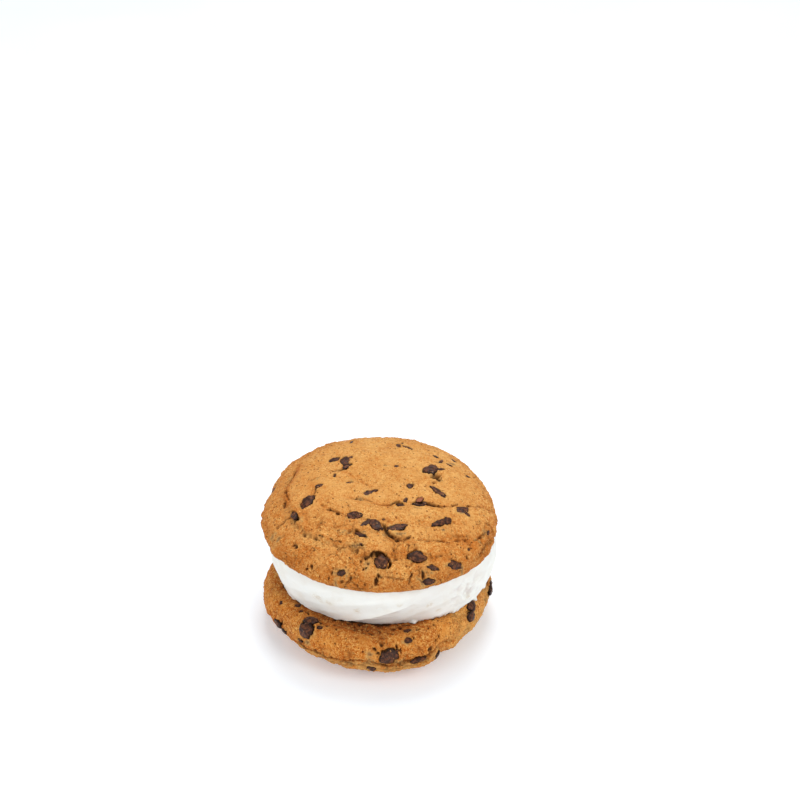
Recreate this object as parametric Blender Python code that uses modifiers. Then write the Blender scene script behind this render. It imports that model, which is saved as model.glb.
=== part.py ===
"""A whoopie pie: two round chocolate chip cookies with a thick layer of white cream between them.

The lower cookie lies with its flat side up and its domed side down, the upper one lies the other
way round, and the cream bulges between the two flat sides. Metres, +Z up, the front faces -Y.
A direction is the angle in degrees round the pie, counted from the front towards +X.
"""
import math
import random

import bmesh
import bpy
from mathutils import Euler, Matrix, Vector, noise
from mathutils.bvhtree import BVHTree

MM = 0.001
GAP = 0.3

# Upper cookie, in millimetres
TOP_RADIUS = 43.0
TOP_HEIGHT = 17.3
TOP_WAIST = 2.6
TOP_FLAT_RADIUS = 40.5
TOP_FULLNESS = 2.9
TOP_TILT = (0.3, 1.5)
TOP_OFFSET = (0.5, 2.4)
TOP_STEPS = 104
TOP_RINGS = 25
FLAT_RING = 0.6

# Lower cookie, flat side up
LOW_RADIUS = 42.4
LOW_HEIGHT = 17.8
LOW_EDGE_DROP = 7.8
LOW_FLAT_RADIUS = 36.9
LOW_REST_RADIUS = 20.0
LOW_FULLNESS = 2.3
LOW_OFFSET = (-0.2, -1.1)
LOW_STEPS = 92
LOW_EDGE_RINGS = 7
LOW_DOME_RINGS = 11
LOW_OUTER_RING = 0.88

# Cream layer
CREAM_HEIGHT = 21.9
CREAM_FOOT_RADIUS = 34.4
CREAM_TOP_RADIUS = 38.0
CREAM_SHIFT_BACK = 5.2
CREAM_TOP_SHIFT = 2.34
CREAM_BULGE = 2.6
CREAM_ROUNDNESS = 0.7
CREAM_LUMPS = 0.5
CREAM_LUMP_TURNS = 3.0
CREAM_LUMP_LAYERS = 2.0
CREAM_STEPS = 72
CREAM_RINGS = 9
CREAM_FLAT_RING = 0.7

# Swellings of an outline, each as direction, half width in degrees and height in millimetres
TOP_RIM_SWELLS = ((-60, 16, 0.8), (-104, 9, -1.3), (0, 24, -0.7), (57, 17, 1.0), (106, 18, -1.0),
                  (-150, 18, 0.4), (166, 16, 0.6))
LOW_RIM_SWELLS = ((-60, 12, -2.7), (-32, 18, -1.7), (-5, 7, -1.0), (13, 6, -1.0), (36, 6, -2.8),
                  (54, 14, -3.2), (77, 12, -2.2), (-114, 10, -0.5), (135, 16, -0.7), (-150, 14, 0.6),
                  (178, 12, -0.5))
CREAM_FOOT_SWELLS = ((60, 24, 1.6), (96, 24, 4.2), (-60, 20, 1.4), (-150, 20, -1.0), (150, 16, 0.8))
CREAM_TOP_SWELLS = ((75, 34, 2.2), (-80, 26, 0.6), (0, 26, 0.8), (-140, 14, 1.2), (140, 18, -0.8))

# The raised middle of the upper cookie ends in a step, here as direction and distance from the middle
STEP_EDGE = ((-128, 35.5), (-111, 33.4), (-99, 34.0), (-90, 34.8), (-80, 34.4), (-72, 33.2), (-57, 34.4),
             (-45, 34.2), (-33, 33.4), (-20, 32.8), (-9, 35.4), (0, 34.2), (14, 35.6), (31, 38.4), (46, 39.8))
STEP_HEIGHT = 0.95
STEP_SOFTNESS = 1.1
STEP_START = 18.0
STEP_END = 30.0

# Soft valleys between the folds of the upper cookie: depth, half width and path in millimetres
TOP_FOLDS = (
    (0.90, 1.8, ((-12.0, -7.0), (-8.0, -8.8), (-2.0, -10.3), (4.0, -11.2), (10.0, -10.2), (16.0, -9.2),
                 (22.0, -9.7), (30.0, -7.4), (40.0, -2.6))),
    (1.10, 2.1, ((-21.0, -10.0), (-17.5, -14.0), (-12.0, -17.6), (-4.0, -19.4), (3.0, -19.2), (12.0, -20.8),
                 (20.0, -19.6), (27.0, -16.0))),
    (1.25, 2.1, ((-15.0, -22.0), (-9.0, -25.5), (-4.0, -25.0), (1.0, -24.6), (3.6, -27.6), (8.0, -29.0),
                 (15.0, -28.0), (22.0, -26.2), (31.0, -22.4), (37.0, -16.8))),
    (0.60, 1.3, ((-12.4, 8.4), (-10.4, 4.8), (-8.0, 2.2), (-4.4, 0.0))),
    (0.75, 1.8, ((4.0, -34.0), (10.0, -32.4), (18.0, -33.0), (28.0, -30.6))),
    (0.45, 1.6, ((-24.0, 0.0), (-25.0, -5.0), (-28.0, -12.0), (-25.0, -20.0))),
)
LUMP_HEIGHT = 0.55
LUMP_LENGTH = 13.0
LUMP_LAYERS = (3.0, 21.0)

# How far the relief fades out above the waist, and beside the flat rest of the lower cookie
WAIST_FADE = 3.0
REST_FADE = (2.0, 10.0)

# Ledges of the lower cookie's underside: depth, distance from the middle and half width
DOME_LEDGES = ((0.8, 39.6, 0.9), (0.4, 33.0, 1.2))
LEDGE_WAVE = 0.8
LEDGE_WAVE_LENGTH = 8.0
LEDGE_LAYER = 30.0

# Chips of the upper cookie: place of the middle, length and width in millimetres, heading in degrees
TOP_CHIPS = (
    (18.2, 10.6, 7.6, 5.8, 60), (-26.2, -8.7, 7.4, 5.2, 50), (0.4, -36.8, 5.8, 5.6, 90),
    (-1.9, -22.7, 6.2, 4.8, -60), (-13.2, 14.2, 6.8, 3.4, 80), (6.1, -22.8, 8.0, 3.4, 22),
    (12.9, -34.6, 7.4, 3.9, -14), (21.2, -18.8, 7.6, 2.6, 32), (29.3, -10.0, 5.4, 3.8, 20),
    (21.0, -2.5, 7.4, 2.6, -42), (-30.7, -14.0, 6.8, 2.6, -65), (-9.3, -17.4, 6.4, 3.2, -2),
    (13.7, -10.8, 5.2, 3.2, 8), (-16.9, 16.2, 4.0, 3.7, 20), (-3.8, -5.0, 5.4, 2.4, 30),
    (26.8, -32.5, 5.6, 3.1, -2), (-7.2, -26.5, 5.2, 2.4, -42), (10.0, 25.8, 5.6, 2.0, -40),
    (10.5, -0.7, 3.5, 2.4, 85), (7.1, -10.8, 3.6, 2.5, -10), (-22.2, -0.5, 3.4, 2.4, 20),
    (14.2, -8.0, 4.0, 2.4, 62), (17.4, -38.9, 5.0, 2.6, 8), (-13.3, -39.2, 3.6, 2.2, 0),
)
TOP_HIDDEN_CHIPS = 7
TOP_HIDDEN_SPAN = (124, 238)
TOP_HIDDEN_LEVEL = (3.6, 5.6)

# Chips of the lower cookie: direction, place along its surface outward from the middle, sizes, heading
LOW_CHIPS = (
    (-40.8, 41.6, 6.6, 6.2, 90), (6.0, 44.3, 7.8, 6.2, 0), (-42, 36.9, 6.4, 4.8, 40),
    (64.8, 40.9, 5.2, 3.8, 27), (60.4, 43.9, 4.4, 4.1, 60), (-65.2, 48.1, 5.6, 3.6, -30),
    (92, 46.1, 7.8, 3.2, 0), (20.4, 46.5, 6.6, 2.6, 0), (16.8, 39.4, 3.4, 2.5, 0), (32.0, 48.4, 3.8, 2.6, 0),
)
LOW_HIDDEN_CHIPS = 8
LOW_HIDDEN_SPAN = (105, 265)
LOW_HIDDEN_REACH = (6.0, 13.0)
HIDDEN_LENGTH = (4.0, 6.6)
HIDDEN_WIDTH = (2.8, 4.6)
CHIP_THICKNESS = 0.75
CHIP_LEAST_THICKNESS = 1.6
CHIP_SINK = 0.22
CHIP_SEGMENTS = 8
CHIP_RINGS = 4
AIM_START = 60.0

COOKIE_COLOUR = (0.58, 0.30, 0.105, 1.0)
CREAM_COLOUR = (0.86, 0.85, 0.81, 1.0)


def swell(direction, swells):
    """Sum of the listed swellings at one direction."""
    total = 0.0
    for middle, half_width, height in swells:
        turn = (direction - middle + 180.0) % 360.0 - 180.0
        total += height * math.exp(-((turn / half_width) ** 2))
    return total


def direction_of(x, y):
    return math.degrees(math.atan2(x, -y))


def smooth_ramp(value, low, high):
    share = min(1.0, max(0.0, (value - low) / (high - low)))
    return share * share * (3.0 - 2.0 * share)


def distance_to_path(x, y, path):
    """Shortest distance in the plane from a point to a path of straight runs."""
    nearest = 1e9
    for (ax, ay), (bx, by) in zip(path, path[1:]):
        run_x = bx - ax
        run_y = by - ay
        share = ((x - ax) * run_x + (y - ay) * run_y) / (run_x ** 2 + run_y ** 2)
        share = min(1.0, max(0.0, share))
        nearest = min(nearest, math.hypot(x - ax - share * run_x, y - ay - share * run_y))
    return nearest


def step_radius(direction):
    """Distance of the step from the middle, and how strongly it shows in this direction."""
    first = STEP_EDGE[0]
    last = STEP_EDGE[-1]
    turn = (direction + 180.0) % 360.0 - 180.0
    if turn <= first[0] or turn >= last[0]:
        return last[1], 0.0
    for (low, inner), (high, outer) in zip(STEP_EDGE, STEP_EDGE[1:]):
        if turn <= high:
            radius = inner + (outer - inner) * (turn - low) / (high - low)
            break
    strength = smooth_ramp(turn, first[0], first[0] + STEP_START)
    return radius, strength * smooth_ramp(-turn, -last[0], -last[0] + STEP_END)


def crown_relief(x, y):
    """Height in millimetres that the folded dough of the upper cookie adds to its smooth crown."""
    radius = math.hypot(x, y)
    height = LUMP_HEIGHT * noise.noise(Vector((x, y, LUMP_LAYERS[0])) / LUMP_LENGTH)
    edge, strength = step_radius(direction_of(x, y))
    height -= strength * STEP_HEIGHT * smooth_ramp(radius, edge - STEP_SOFTNESS, edge + STEP_SOFTNESS)
    for depth, half_width, path in TOP_FOLDS:
        height -= depth * math.exp(-distance_to_path(x, y, path) / half_width)
    return height


def dome_relief(x, y):
    """The same for the domed underside of the lower cookie, which has ledges near its rim."""
    radius = math.hypot(x, y)
    height = LUMP_HEIGHT * noise.noise(Vector((x, y, LUMP_LAYERS[1])) / LUMP_LENGTH)
    ledge = radius + LEDGE_WAVE * noise.noise(Vector((x, y, LEDGE_LAYER)) / LEDGE_WAVE_LENGTH)
    for depth, middle, half_width in DOME_LEDGES:
        height -= depth * math.exp(-(((ledge - middle) / half_width) ** 2))
    return height


def quarter_turn(count):
    return [0.5 * math.pi * index / count for index in range(count + 1)]


def top_profile():
    """Upper cookie from the middle of its crown, out over the rim and back along the flat side."""
    points = []
    for angle in quarter_turn(TOP_RINGS - 4):
        radius = TOP_RADIUS * math.sin(angle)
        rise = math.sqrt(max(0.0, 1.0 - (radius / TOP_RADIUS) ** TOP_FULLNESS))
        points.append((radius, TOP_WAIST + (TOP_HEIGHT - TOP_WAIST) * rise))
    for angle in quarter_turn(2)[1:]:
        radius = TOP_FLAT_RADIUS + (TOP_RADIUS - TOP_FLAT_RADIUS) * math.cos(angle)
        points.append((radius, TOP_WAIST * (1.0 - math.sin(angle))))
    points.append((FLAT_RING * TOP_FLAT_RADIUS, 0.0))
    points.append((0.0, 0.0))
    return points


def dome_level(radius):
    """Height of the lower cookie's smooth underside at a distance from its axis."""
    share = (radius - LOW_REST_RADIUS) / (LOW_RADIUS - LOW_REST_RADIUS)
    return (LOW_HEIGHT - LOW_EDGE_DROP) * (1.0 - math.sqrt(max(0.0, 1.0 - share ** LOW_FULLNESS)))


def low_profile():
    """Lower cookie from the middle of its flat side, over the round edge and down to the dome."""
    waist = LOW_HEIGHT - LOW_EDGE_DROP
    points = [(share * LOW_FLAT_RADIUS, LOW_HEIGHT) for share in (0.0, FLAT_RING, LOW_OUTER_RING)]
    for angle in quarter_turn(LOW_EDGE_RINGS):
        radius = LOW_FLAT_RADIUS + (LOW_RADIUS - LOW_FLAT_RADIUS) * math.sin(angle)
        points.append((radius, waist + LOW_EDGE_DROP * math.cos(angle)))
    for angle in quarter_turn(LOW_DOME_RINGS)[1:]:
        radius = LOW_REST_RADIUS + (LOW_RADIUS - LOW_REST_RADIUS) * math.cos(angle)
        points.append((radius, dome_level(radius)))
    points.append((0.0, 0.0))
    return points


def cream_profile():
    """Cream as a plain drum from its upper face down to its foot: radius 1, height 0 to 1."""
    points = [(0.0, 1.0), (CREAM_FLAT_RING, 1.0)]
    for index in range(CREAM_RINGS + 1):
        points.append((1.0, 1.0 - index / CREAM_RINGS))
    points.append((CREAM_FLAT_RING, 0.0))
    points.append((0.0, 0.0))
    return points


def turned(name, profile, steps, collection):
    """Turned solid of a profile in millimetres, as a plain mesh object in metres."""
    outline = bpy.data.meshes.new(name + "_outline")
    points = [(radius * MM, 0.0, height * MM) for radius, height in profile]
    edges = [(index, index + 1) for index in range(len(points) - 1)]
    outline.from_pydata(points, edges, [])
    source = bpy.data.objects.new(name + "_outline", outline)
    collection.objects.link(source)
    screw = source.modifiers.new("turn", "SCREW")
    screw.axis = "Z"
    screw.angle = 2.0 * math.pi
    screw.steps = steps
    screw.render_steps = steps
    screw.use_merge_vertices = True
    screw.merge_threshold = 0.00001
    bpy.context.view_layer.update()
    solid = bpy.data.meshes.new_from_object(source.evaluated_get(bpy.context.evaluated_depsgraph_get()))
    bpy.data.objects.remove(source)
    bpy.data.meshes.remove(outline)
    solid.name = name
    body = bpy.data.objects.new(name, solid)
    collection.objects.link(body)
    return body


def shape_top(mesh):
    """Waves the rim, crumples the crown and leaves the flat side flat."""
    for vertex in mesh.vertices:
        x, y, z = vertex.co / MM
        radius = math.hypot(x, y)
        if radius < 1e-6:
            vertex.co.z += crown_relief(x, y) * MM * (z > TOP_WAIST)
            continue
        out = swell(direction_of(x, y), TOP_RIM_SWELLS) * (radius / TOP_RADIUS) ** 3
        up = crown_relief(x, y) * smooth_ramp(z, TOP_WAIST, TOP_WAIST + WAIST_FADE)
        scale = (radius + out) / radius
        vertex.co = Vector((x * scale, y * scale, z + up)) * MM


def shape_low(mesh):
    """Waves the rim of the lower cookie and breaks its dome, and keeps the flat side and the rest flat."""
    waist = LOW_HEIGHT - LOW_EDGE_DROP
    for vertex in mesh.vertices:
        x, y, z = vertex.co / MM
        radius = math.hypot(x, y)
        if radius < 1e-6:
            continue
        out = swell(direction_of(x, y), LOW_RIM_SWELLS) * smooth_ramp(radius, LOW_REST_RADIUS, LOW_RADIUS)
        down = dome_relief(x, y) * smooth_ramp(waist - z, 0.0, WAIST_FADE)
        down *= smooth_ramp(radius, LOW_REST_RADIUS + REST_FADE[0], LOW_REST_RADIUS + REST_FADE[1])
        scale = (radius + out) / radius
        vertex.co = Vector((x * scale, y * scale, max(0.0, z - down))) * MM


def top_frame():
    """Place of the upper cookie's flat side: its middle, and its tilt about X and Y."""
    tilt = Euler((math.radians(TOP_TILT[0]), math.radians(TOP_TILT[1]), 0.0)).to_matrix().to_4x4()
    seat = Vector((TOP_OFFSET[0], TOP_OFFSET[1], LOW_HEIGHT + CREAM_HEIGHT)) * MM
    return Matrix.Translation(seat) @ tilt


def shape_cream(mesh):
    """Gives the drum its foot, its bulge and its upper face, which follows the tilted cookie above."""
    lid = top_frame()
    normal = lid.to_3x3() @ Vector((0.0, 0.0, 1.0))
    for vertex in mesh.vertices:
        x, y, level = vertex.co / MM
        share = math.hypot(x, y)
        direction = direction_of(x, y)
        lean = math.cos(math.radians(direction))
        foot = CREAM_FOOT_RADIUS - CREAM_SHIFT_BACK * lean + swell(direction, CREAM_FOOT_SWELLS)
        top = CREAM_TOP_RADIUS - CREAM_TOP_SHIFT * lean + swell(direction, CREAM_TOP_SWELLS)
        radius = foot + (top - foot) * smooth_ramp(level, 0.0, 1.0)
        radius += CREAM_BULGE * math.sin(math.pi * level) ** CREAM_ROUNDNESS if 0.0 < level < 1.0 else 0.0
        angle = math.radians(direction)
        round_x = math.sin(angle) * CREAM_LUMP_TURNS
        round_y = lean * CREAM_LUMP_TURNS
        radius += CREAM_LUMPS * noise.noise(Vector((round_x, round_y, level * CREAM_LUMP_LAYERS)))
        out_x = share * radius * math.sin(angle) * MM
        out_y = -share * radius * math.cos(angle) * MM
        slope = normal.x * (out_x - lid.translation.x) + normal.y * (out_y - lid.translation.y)
        floor = (LOW_HEIGHT + GAP) * MM
        ceiling = lid.translation.z - slope / normal.z - GAP * MM
        vertex.co = Vector((out_x, out_y, floor + (ceiling - floor) * level))


def chip_matrix(place, normal, heading):
    """Frame of a chip: its local Z stands off the dough and its local X points along the heading."""
    along = Vector((math.cos(math.radians(heading)), math.sin(math.radians(heading)), 0.0))
    side = normal.cross(along).normalized()
    along = side.cross(normal).normalized()
    return Matrix((along, side, normal)).transposed().to_4x4(), place


def add_chip(name, surface, origin, aim, size, heading, collection):
    """One chip pressed into the dough where a line from origin along aim meets the surface."""
    place, normal, face, distance = surface.ray_cast(origin, aim)
    if place is None:
        return None
    turn, place = chip_matrix(place, normal, heading)
    length, width = size
    thickness = max(CHIP_LEAST_THICKNESS, CHIP_THICKNESS * width)
    sink = place - normal * CHIP_SINK * thickness * MM
    stretch = Matrix.Diagonal((0.5 * length * MM, 0.5 * width * MM, 0.5 * thickness * MM, 1.0))
    shape = bmesh.new()
    bmesh.ops.create_uvsphere(shape, u_segments=CHIP_SEGMENTS, v_segments=CHIP_RINGS, radius=1.0,
                              matrix=Matrix.Translation(sink) @ turn @ stretch)
    mesh = bpy.data.meshes.new(name)
    shape.to_mesh(mesh)
    shape.free()
    chip = bpy.data.objects.new(name, mesh)
    collection.objects.link(chip)
    return chip


def surface_of(body):
    shape = bmesh.new()
    shape.from_mesh(body.data)
    tree = BVHTree.FromBMesh(shape)
    shape.free()
    return tree


def hidden_chips(seed, count, span):
    """Chips spread by rule round the side that the front view doesn't show."""
    draw = random.Random(seed)
    for index in range(count):
        share = (index + draw.uniform(0.2, 0.8)) / count
        direction = span[0] + (span[1] - span[0]) * share
        reach = draw.uniform(0.0, 1.0)
        length = draw.uniform(HIDDEN_LENGTH[0], HIDDEN_LENGTH[1])
        width = draw.uniform(HIDDEN_WIDTH[0], HIDDEN_WIDTH[1])
        yield direction, reach, length, width, draw.uniform(0, 180)


def top_chips(surface, collection):
    down = Vector((0.0, 0.0, -1.0))
    for index, (x, y, length, width, heading) in enumerate(TOP_CHIPS):
        start = Vector((x, y, AIM_START)) * MM
        add_chip("top_chip_%02d" % index, surface, start, down, (length, width), heading, collection)
    lowest, highest = TOP_HIDDEN_LEVEL
    draws = hidden_chips(5, TOP_HIDDEN_CHIPS, TOP_HIDDEN_SPAN)
    for index, (direction, share, length, width, heading) in enumerate(draws):
        angle = math.radians(direction)
        outward = Vector((math.sin(angle), -math.cos(angle), 0.0))
        start = outward * AIM_START + Vector((0.0, 0.0, lowest + (highest - lowest) * share))
        add_chip("top_back_chip_%02d" % index, surface, start * MM, -outward, (length, width), heading,
                 collection)


def low_aim(direction, reach):
    """Line onto the lower cookie's surface, reach millimetres out from its middle along the surface."""
    edge = LOW_RADIUS - LOW_FLAT_RADIUS
    quarter = 0.5 * math.pi
    turn = max(0.0, (reach - LOW_FLAT_RADIUS) / (0.5 * (edge + LOW_EDGE_DROP)))
    if turn < quarter:
        radius = min(reach, LOW_FLAT_RADIUS) + edge * math.sin(turn)
        level = LOW_HEIGHT - LOW_EDGE_DROP * (1.0 - math.cos(turn))
        slope = math.atan2(math.sin(turn) * LOW_EDGE_DROP, math.cos(turn) * edge)
    else:
        radius = LOW_REST_RADIUS + (LOW_RADIUS - LOW_REST_RADIUS) * math.cos(turn - quarter)
        level = dome_level(radius)
        slope = turn
    radius += swell(direction, LOW_RIM_SWELLS) * smooth_ramp(radius, LOW_REST_RADIUS, LOW_RADIUS)
    angle = math.radians(direction)
    outward = Vector((math.sin(angle), -math.cos(angle), 0.0))
    upward = Vector((0.0, 0.0, 1.0))
    away = outward * math.sin(slope) + upward * math.cos(slope)
    return (outward * radius + upward * level + away * AIM_START) * MM, -away


def low_chips(surface, collection):
    for index, (direction, reach, length, width, heading) in enumerate(LOW_CHIPS):
        start, aim = low_aim(direction, reach)
        add_chip("low_chip_%02d" % index, surface, start, aim, (length, width), direction + heading,
                 collection)
    nearest, farthest = LOW_HIDDEN_REACH
    draws = hidden_chips(11, LOW_HIDDEN_CHIPS, LOW_HIDDEN_SPAN)
    for index, (direction, share, length, width, heading) in enumerate(draws):
        start, aim = low_aim(direction, LOW_FLAT_RADIUS + nearest + (farthest - nearest) * share)
        add_chip("low_back_chip_%02d" % index, surface, start, aim, (length, width), heading, collection)


def keep_main_shell(mesh):
    """Drops loose scraps and shells sealed inside, so that one closed body is left."""
    shape = bmesh.new()
    shape.from_mesh(mesh)
    shells = []
    seen = set()
    for start in shape.faces:
        if start.index in seen:
            continue
        shell = [start]
        seen.add(start.index)
        for face in shell:
            for edge in face.edges:
                for neighbour in edge.link_faces:
                    if neighbour.index not in seen:
                        seen.add(neighbour.index)
                        shell.append(neighbour)
        shells.append(shell)
    shells.sort(key=len, reverse=True)
    scraps = [face for shell in shells[1:] for face in shell]
    bmesh.ops.delete(shape, geom=scraps, context="FACES")
    shape.to_mesh(mesh)
    shape.free()


def press_in(body, chips, solver):
    """Joins the chips of a collection to the cookie and removes the separate chips."""
    join = body.modifiers.new("chips", "BOOLEAN")
    join.operation = "UNION"
    join.operand_type = "COLLECTION"
    join.collection = chips
    join.solver = solver
    bpy.context.view_layer.update()
    joined = bpy.data.meshes.new_from_object(body.evaluated_get(bpy.context.evaluated_depsgraph_get()))
    body.modifiers.remove(join)
    plain = body.data
    joined.name = plain.name
    body.data = joined
    bpy.data.meshes.remove(plain)
    keep_main_shell(joined)
    for chip in list(chips.objects):
        bpy.data.objects.remove(chip)
    bpy.data.collections.remove(chips)


def finish_surface(body, name, colour, roughness):
    material = bpy.data.materials.new(name)
    material.use_nodes = True
    shader = material.node_tree.nodes["Principled BSDF"]
    shader.inputs["Base Color"].default_value = colour
    shader.inputs["Roughness"].default_value = roughness
    shader.inputs["Metallic"].default_value = 0.0
    material.diffuse_color = colour
    body.data.materials.clear()
    body.data.materials.append(material)
    body.data.shade_smooth()
    body.data.set_sharp_from_angle(angle=math.radians(50.0))


def new_collection(name):
    collection = bpy.data.collections.new(name)
    bpy.context.scene.collection.children.link(collection)
    return collection


def make_top_cookie(collection):
    body = turned("top_cookie", top_profile(), TOP_STEPS, collection)
    shape_top(body.data)
    chips = new_collection("top_chips")
    top_chips(surface_of(body), chips)
    press_in(body, chips, "EXACT")
    body.data.transform(top_frame())
    finish_surface(body, "baked_dough_upper", COOKIE_COLOUR, 0.8)
    return body


def make_bottom_cookie(collection):
    body = turned("bottom_cookie", low_profile(), LOW_STEPS, collection)
    shape_low(body.data)
    chips = new_collection("low_chips")
    low_chips(surface_of(body), chips)
    press_in(body, chips, "EXACT")
    body.data.transform(Matrix.Translation(Vector((LOW_OFFSET[0], LOW_OFFSET[1], 0.0)) * MM))
    finish_surface(body, "baked_dough_lower", COOKIE_COLOUR, 0.8)
    return body


def make_cream(collection):
    body = turned("cream_filling", cream_profile(), CREAM_STEPS, collection)
    shape_cream(body.data)
    finish_surface(body, "whipped_cream", CREAM_COLOUR, 0.5)
    return body


def centre_on_base(bodies):
    """Moves all pieces together, so that the origin is under the middle of the whole pie's box."""
    corners = [vertex.co for body in bodies for vertex in body.data.vertices]
    middle_x = 0.5 * (min(co.x for co in corners) + max(co.x for co in corners))
    middle_y = 0.5 * (min(co.y for co in corners) + max(co.y for co in corners))
    lowest = min(co.z for co in corners)
    for body in bodies:
        body.data.transform(Matrix.Translation((-middle_x, -middle_y, -lowest)))


def main():
    for old in list(bpy.data.objects):
        bpy.data.objects.remove(old)
    pie = new_collection("whoopie_pie")
    bodies = [make_bottom_cookie(pie), make_cream(pie), make_top_cookie(pie)]
    centre_on_base(bodies)


main()
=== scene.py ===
"""Looks of the whoopie pie: two chocolate chip cookies and the cream between them.

All shapes are worked out in millimetres about the lower cookie's axis and moved onto the frame at
the end. A direction is an angle in degrees round the pie, from the front (-Y) towards +X.
"""
import math
import random

import bmesh
import bpy
import numpy as np
from mathutils import Euler, Matrix, Vector, noise
from mathutils.bvhtree import BVHTree


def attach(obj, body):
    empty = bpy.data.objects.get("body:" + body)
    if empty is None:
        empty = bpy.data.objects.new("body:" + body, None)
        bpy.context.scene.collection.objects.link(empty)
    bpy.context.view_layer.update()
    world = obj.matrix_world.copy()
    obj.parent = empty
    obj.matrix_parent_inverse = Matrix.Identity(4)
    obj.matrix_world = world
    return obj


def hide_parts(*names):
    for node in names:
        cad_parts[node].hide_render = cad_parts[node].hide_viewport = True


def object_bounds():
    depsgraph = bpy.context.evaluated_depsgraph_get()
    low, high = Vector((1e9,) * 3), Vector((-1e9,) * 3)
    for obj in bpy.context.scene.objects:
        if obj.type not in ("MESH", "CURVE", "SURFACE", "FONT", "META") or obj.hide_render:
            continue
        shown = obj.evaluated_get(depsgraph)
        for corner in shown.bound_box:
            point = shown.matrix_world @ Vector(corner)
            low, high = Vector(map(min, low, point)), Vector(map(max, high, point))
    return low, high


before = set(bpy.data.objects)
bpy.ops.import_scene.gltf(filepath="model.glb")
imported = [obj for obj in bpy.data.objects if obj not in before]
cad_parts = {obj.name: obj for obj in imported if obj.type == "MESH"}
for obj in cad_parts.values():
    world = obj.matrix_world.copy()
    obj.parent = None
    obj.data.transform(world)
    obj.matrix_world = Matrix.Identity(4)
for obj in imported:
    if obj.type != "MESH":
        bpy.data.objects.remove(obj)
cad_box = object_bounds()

MM = 0.001

# Upper cookie
TOP_RADIUS = 43.0
TOP_HEIGHT = 17.3
TOP_WAIST = 2.6
TOP_FLAT_RADIUS = 40.5
TOP_FULLNESS = 2.9
TOP_TILT = (0.3, 1.5)
TOP_OFFSET = (0.5, 2.4)

# Lower cookie, flat side up
LOW_RADIUS = 42.4
LOW_HEIGHT = 17.8
LOW_EDGE_DROP = 7.8
LOW_FLAT_RADIUS = 36.9
LOW_REST_RADIUS = 20.0
LOW_FULLNESS = 2.3
LOW_OFFSET = (-0.2, -1.1)

# Cream layer
CREAM_HEIGHT = 21.9
CREAM_FOOT_RADIUS = 34.4
CREAM_TOP_RADIUS = 38.0
CREAM_SHIFT_BACK = 5.2
CREAM_BULGE = 2.6
# How far it presses into both cookies, and how far its foot hangs over the lower one's edge
CREAM_PRESS = 0.25
CREAM_DROOP = 1.0
CREAM_DROOP_SPAN = (36.5, 40.5)
# Spread marks: length round the pie, climb by degree, thickness and depth
BROAD_STREAKS = (22.0, 0.20, 3.4, 0.36)
FINE_STREAKS = (12.0, 0.22, 0.9, 0.08)
# Crease: its path as direction and height, where it fades in and out, its lip and the recess below
CREASE_PATH = ((-28.0, 0.6), (-15.0, 2.9), (-3.5, 6.4), (2.0, 8.4), (11.0, 11.2), (22.0, 13.2))
CREASE_ENDS = (-29.0, -19.0, 7.0, 22.0)
CREASE_LIP = 1.0
CREASE_RECESS = 1.7
# Stains: direction, height and size
CREAM_STAINS = ((31.0, 9.9, 1.0), (38.0, 5.2, 0.8), (-35.6, 12.2, 1.7), (-29.0, 11.5, 0.9), (56.0, 7.5, 1.2),
                (12.0, 14.5, 0.8), (-12.0, 10.0, 1.3))
# Torn patch with a curl: direction and height of its middle, half widths and depth
CURL = (54.0, 11.0)
TORN_SPAN = (10.0, 6.0)
TORN_DEPTH = 1.2
# Length of a degree on the cream's side
DEGREE_LENGTH = 0.58

# Spacing of the surface points where the surface shows, and where it is hidden
CROWN_SPACING = 0.315
LOW_SPACING = 0.345
CREAM_SPACING = 0.275
HIDDEN_SPACING = 1.3
TOP_DOME_STEPS = 160
TOP_RIM_STEPS = 20
LOW_EDGE_STEPS = 60
LOW_DOME_STEPS = 120

# Swellings of an outline, each as direction, half width in degrees and height
TOP_RIM_SWELLS = ((-60, 16, 0.8), (-104, 9, -1.3), (0, 24, -0.7), (57, 17, 1.0), (106, 18, -1.0),
                  (-150, 18, 0.4), (166, 16, 0.6))
LOW_RIM_SWELLS = ((-60, 12, -2.7), (-32, 18, -1.7), (-5, 7, -1.0), (13, 6, -1.0), (36, 6, -2.8),
                  (54, 14, -3.2), (77, 12, -2.2), (-114, 10, -0.5), (135, 16, -0.7), (-150, 14, 0.6),
                  (178, 12, -0.5))
TOP_RIM_NOTCHES = ((-163, 1.3, -0.6), (158, 1.8, -0.7), (153, 3.0, 0.4), (-127, 1.6, 0.5), (-122, 1.2, -0.4),
                   (-139, 1.8, 0.4), (-111, 2.2, 0.4), (-92, 1.6, -0.4), (84, 2.5, -0.4), (74, 1.8, -0.4),
                   (-178, 2.5, 0.25), (120, 2.2, -0.3))
CREAM_FOOT_SWELLS = ((58, 22, 2.3), (96, 24, 4.2), (-60, 20, 1.4), (-150, 20, -1.0), (150, 16, 0.8),
                     (40, 14, 1.0), (64, 22, 1.9), (88, 16, 0.9))
CREAM_TOP_SWELLS = ((86, 32, 3.2), (-80, 26, 0.6), (0, 26, 0.8), (-140, 14, 1.2), (140, 18, -0.8))

# The raised middle of the upper cookie ends in a step: direction and distance from the middle
STEP_EDGE = ((-128, 35.5), (-111, 33.4), (-99, 34.0), (-90, 34.8), (-80, 34.4), (-72, 33.2), (-57, 34.4),
             (-45, 34.2), (-33, 33.4), (-20, 32.8), (-9, 35.4), (0, 34.2), (14, 35.6), (31, 38.4), (46, 39.8))
STEP_HEIGHT = 1.3
STEP_SOFTNESS = 0.5
STEP_FADES = (18.0, 30.0)

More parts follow.
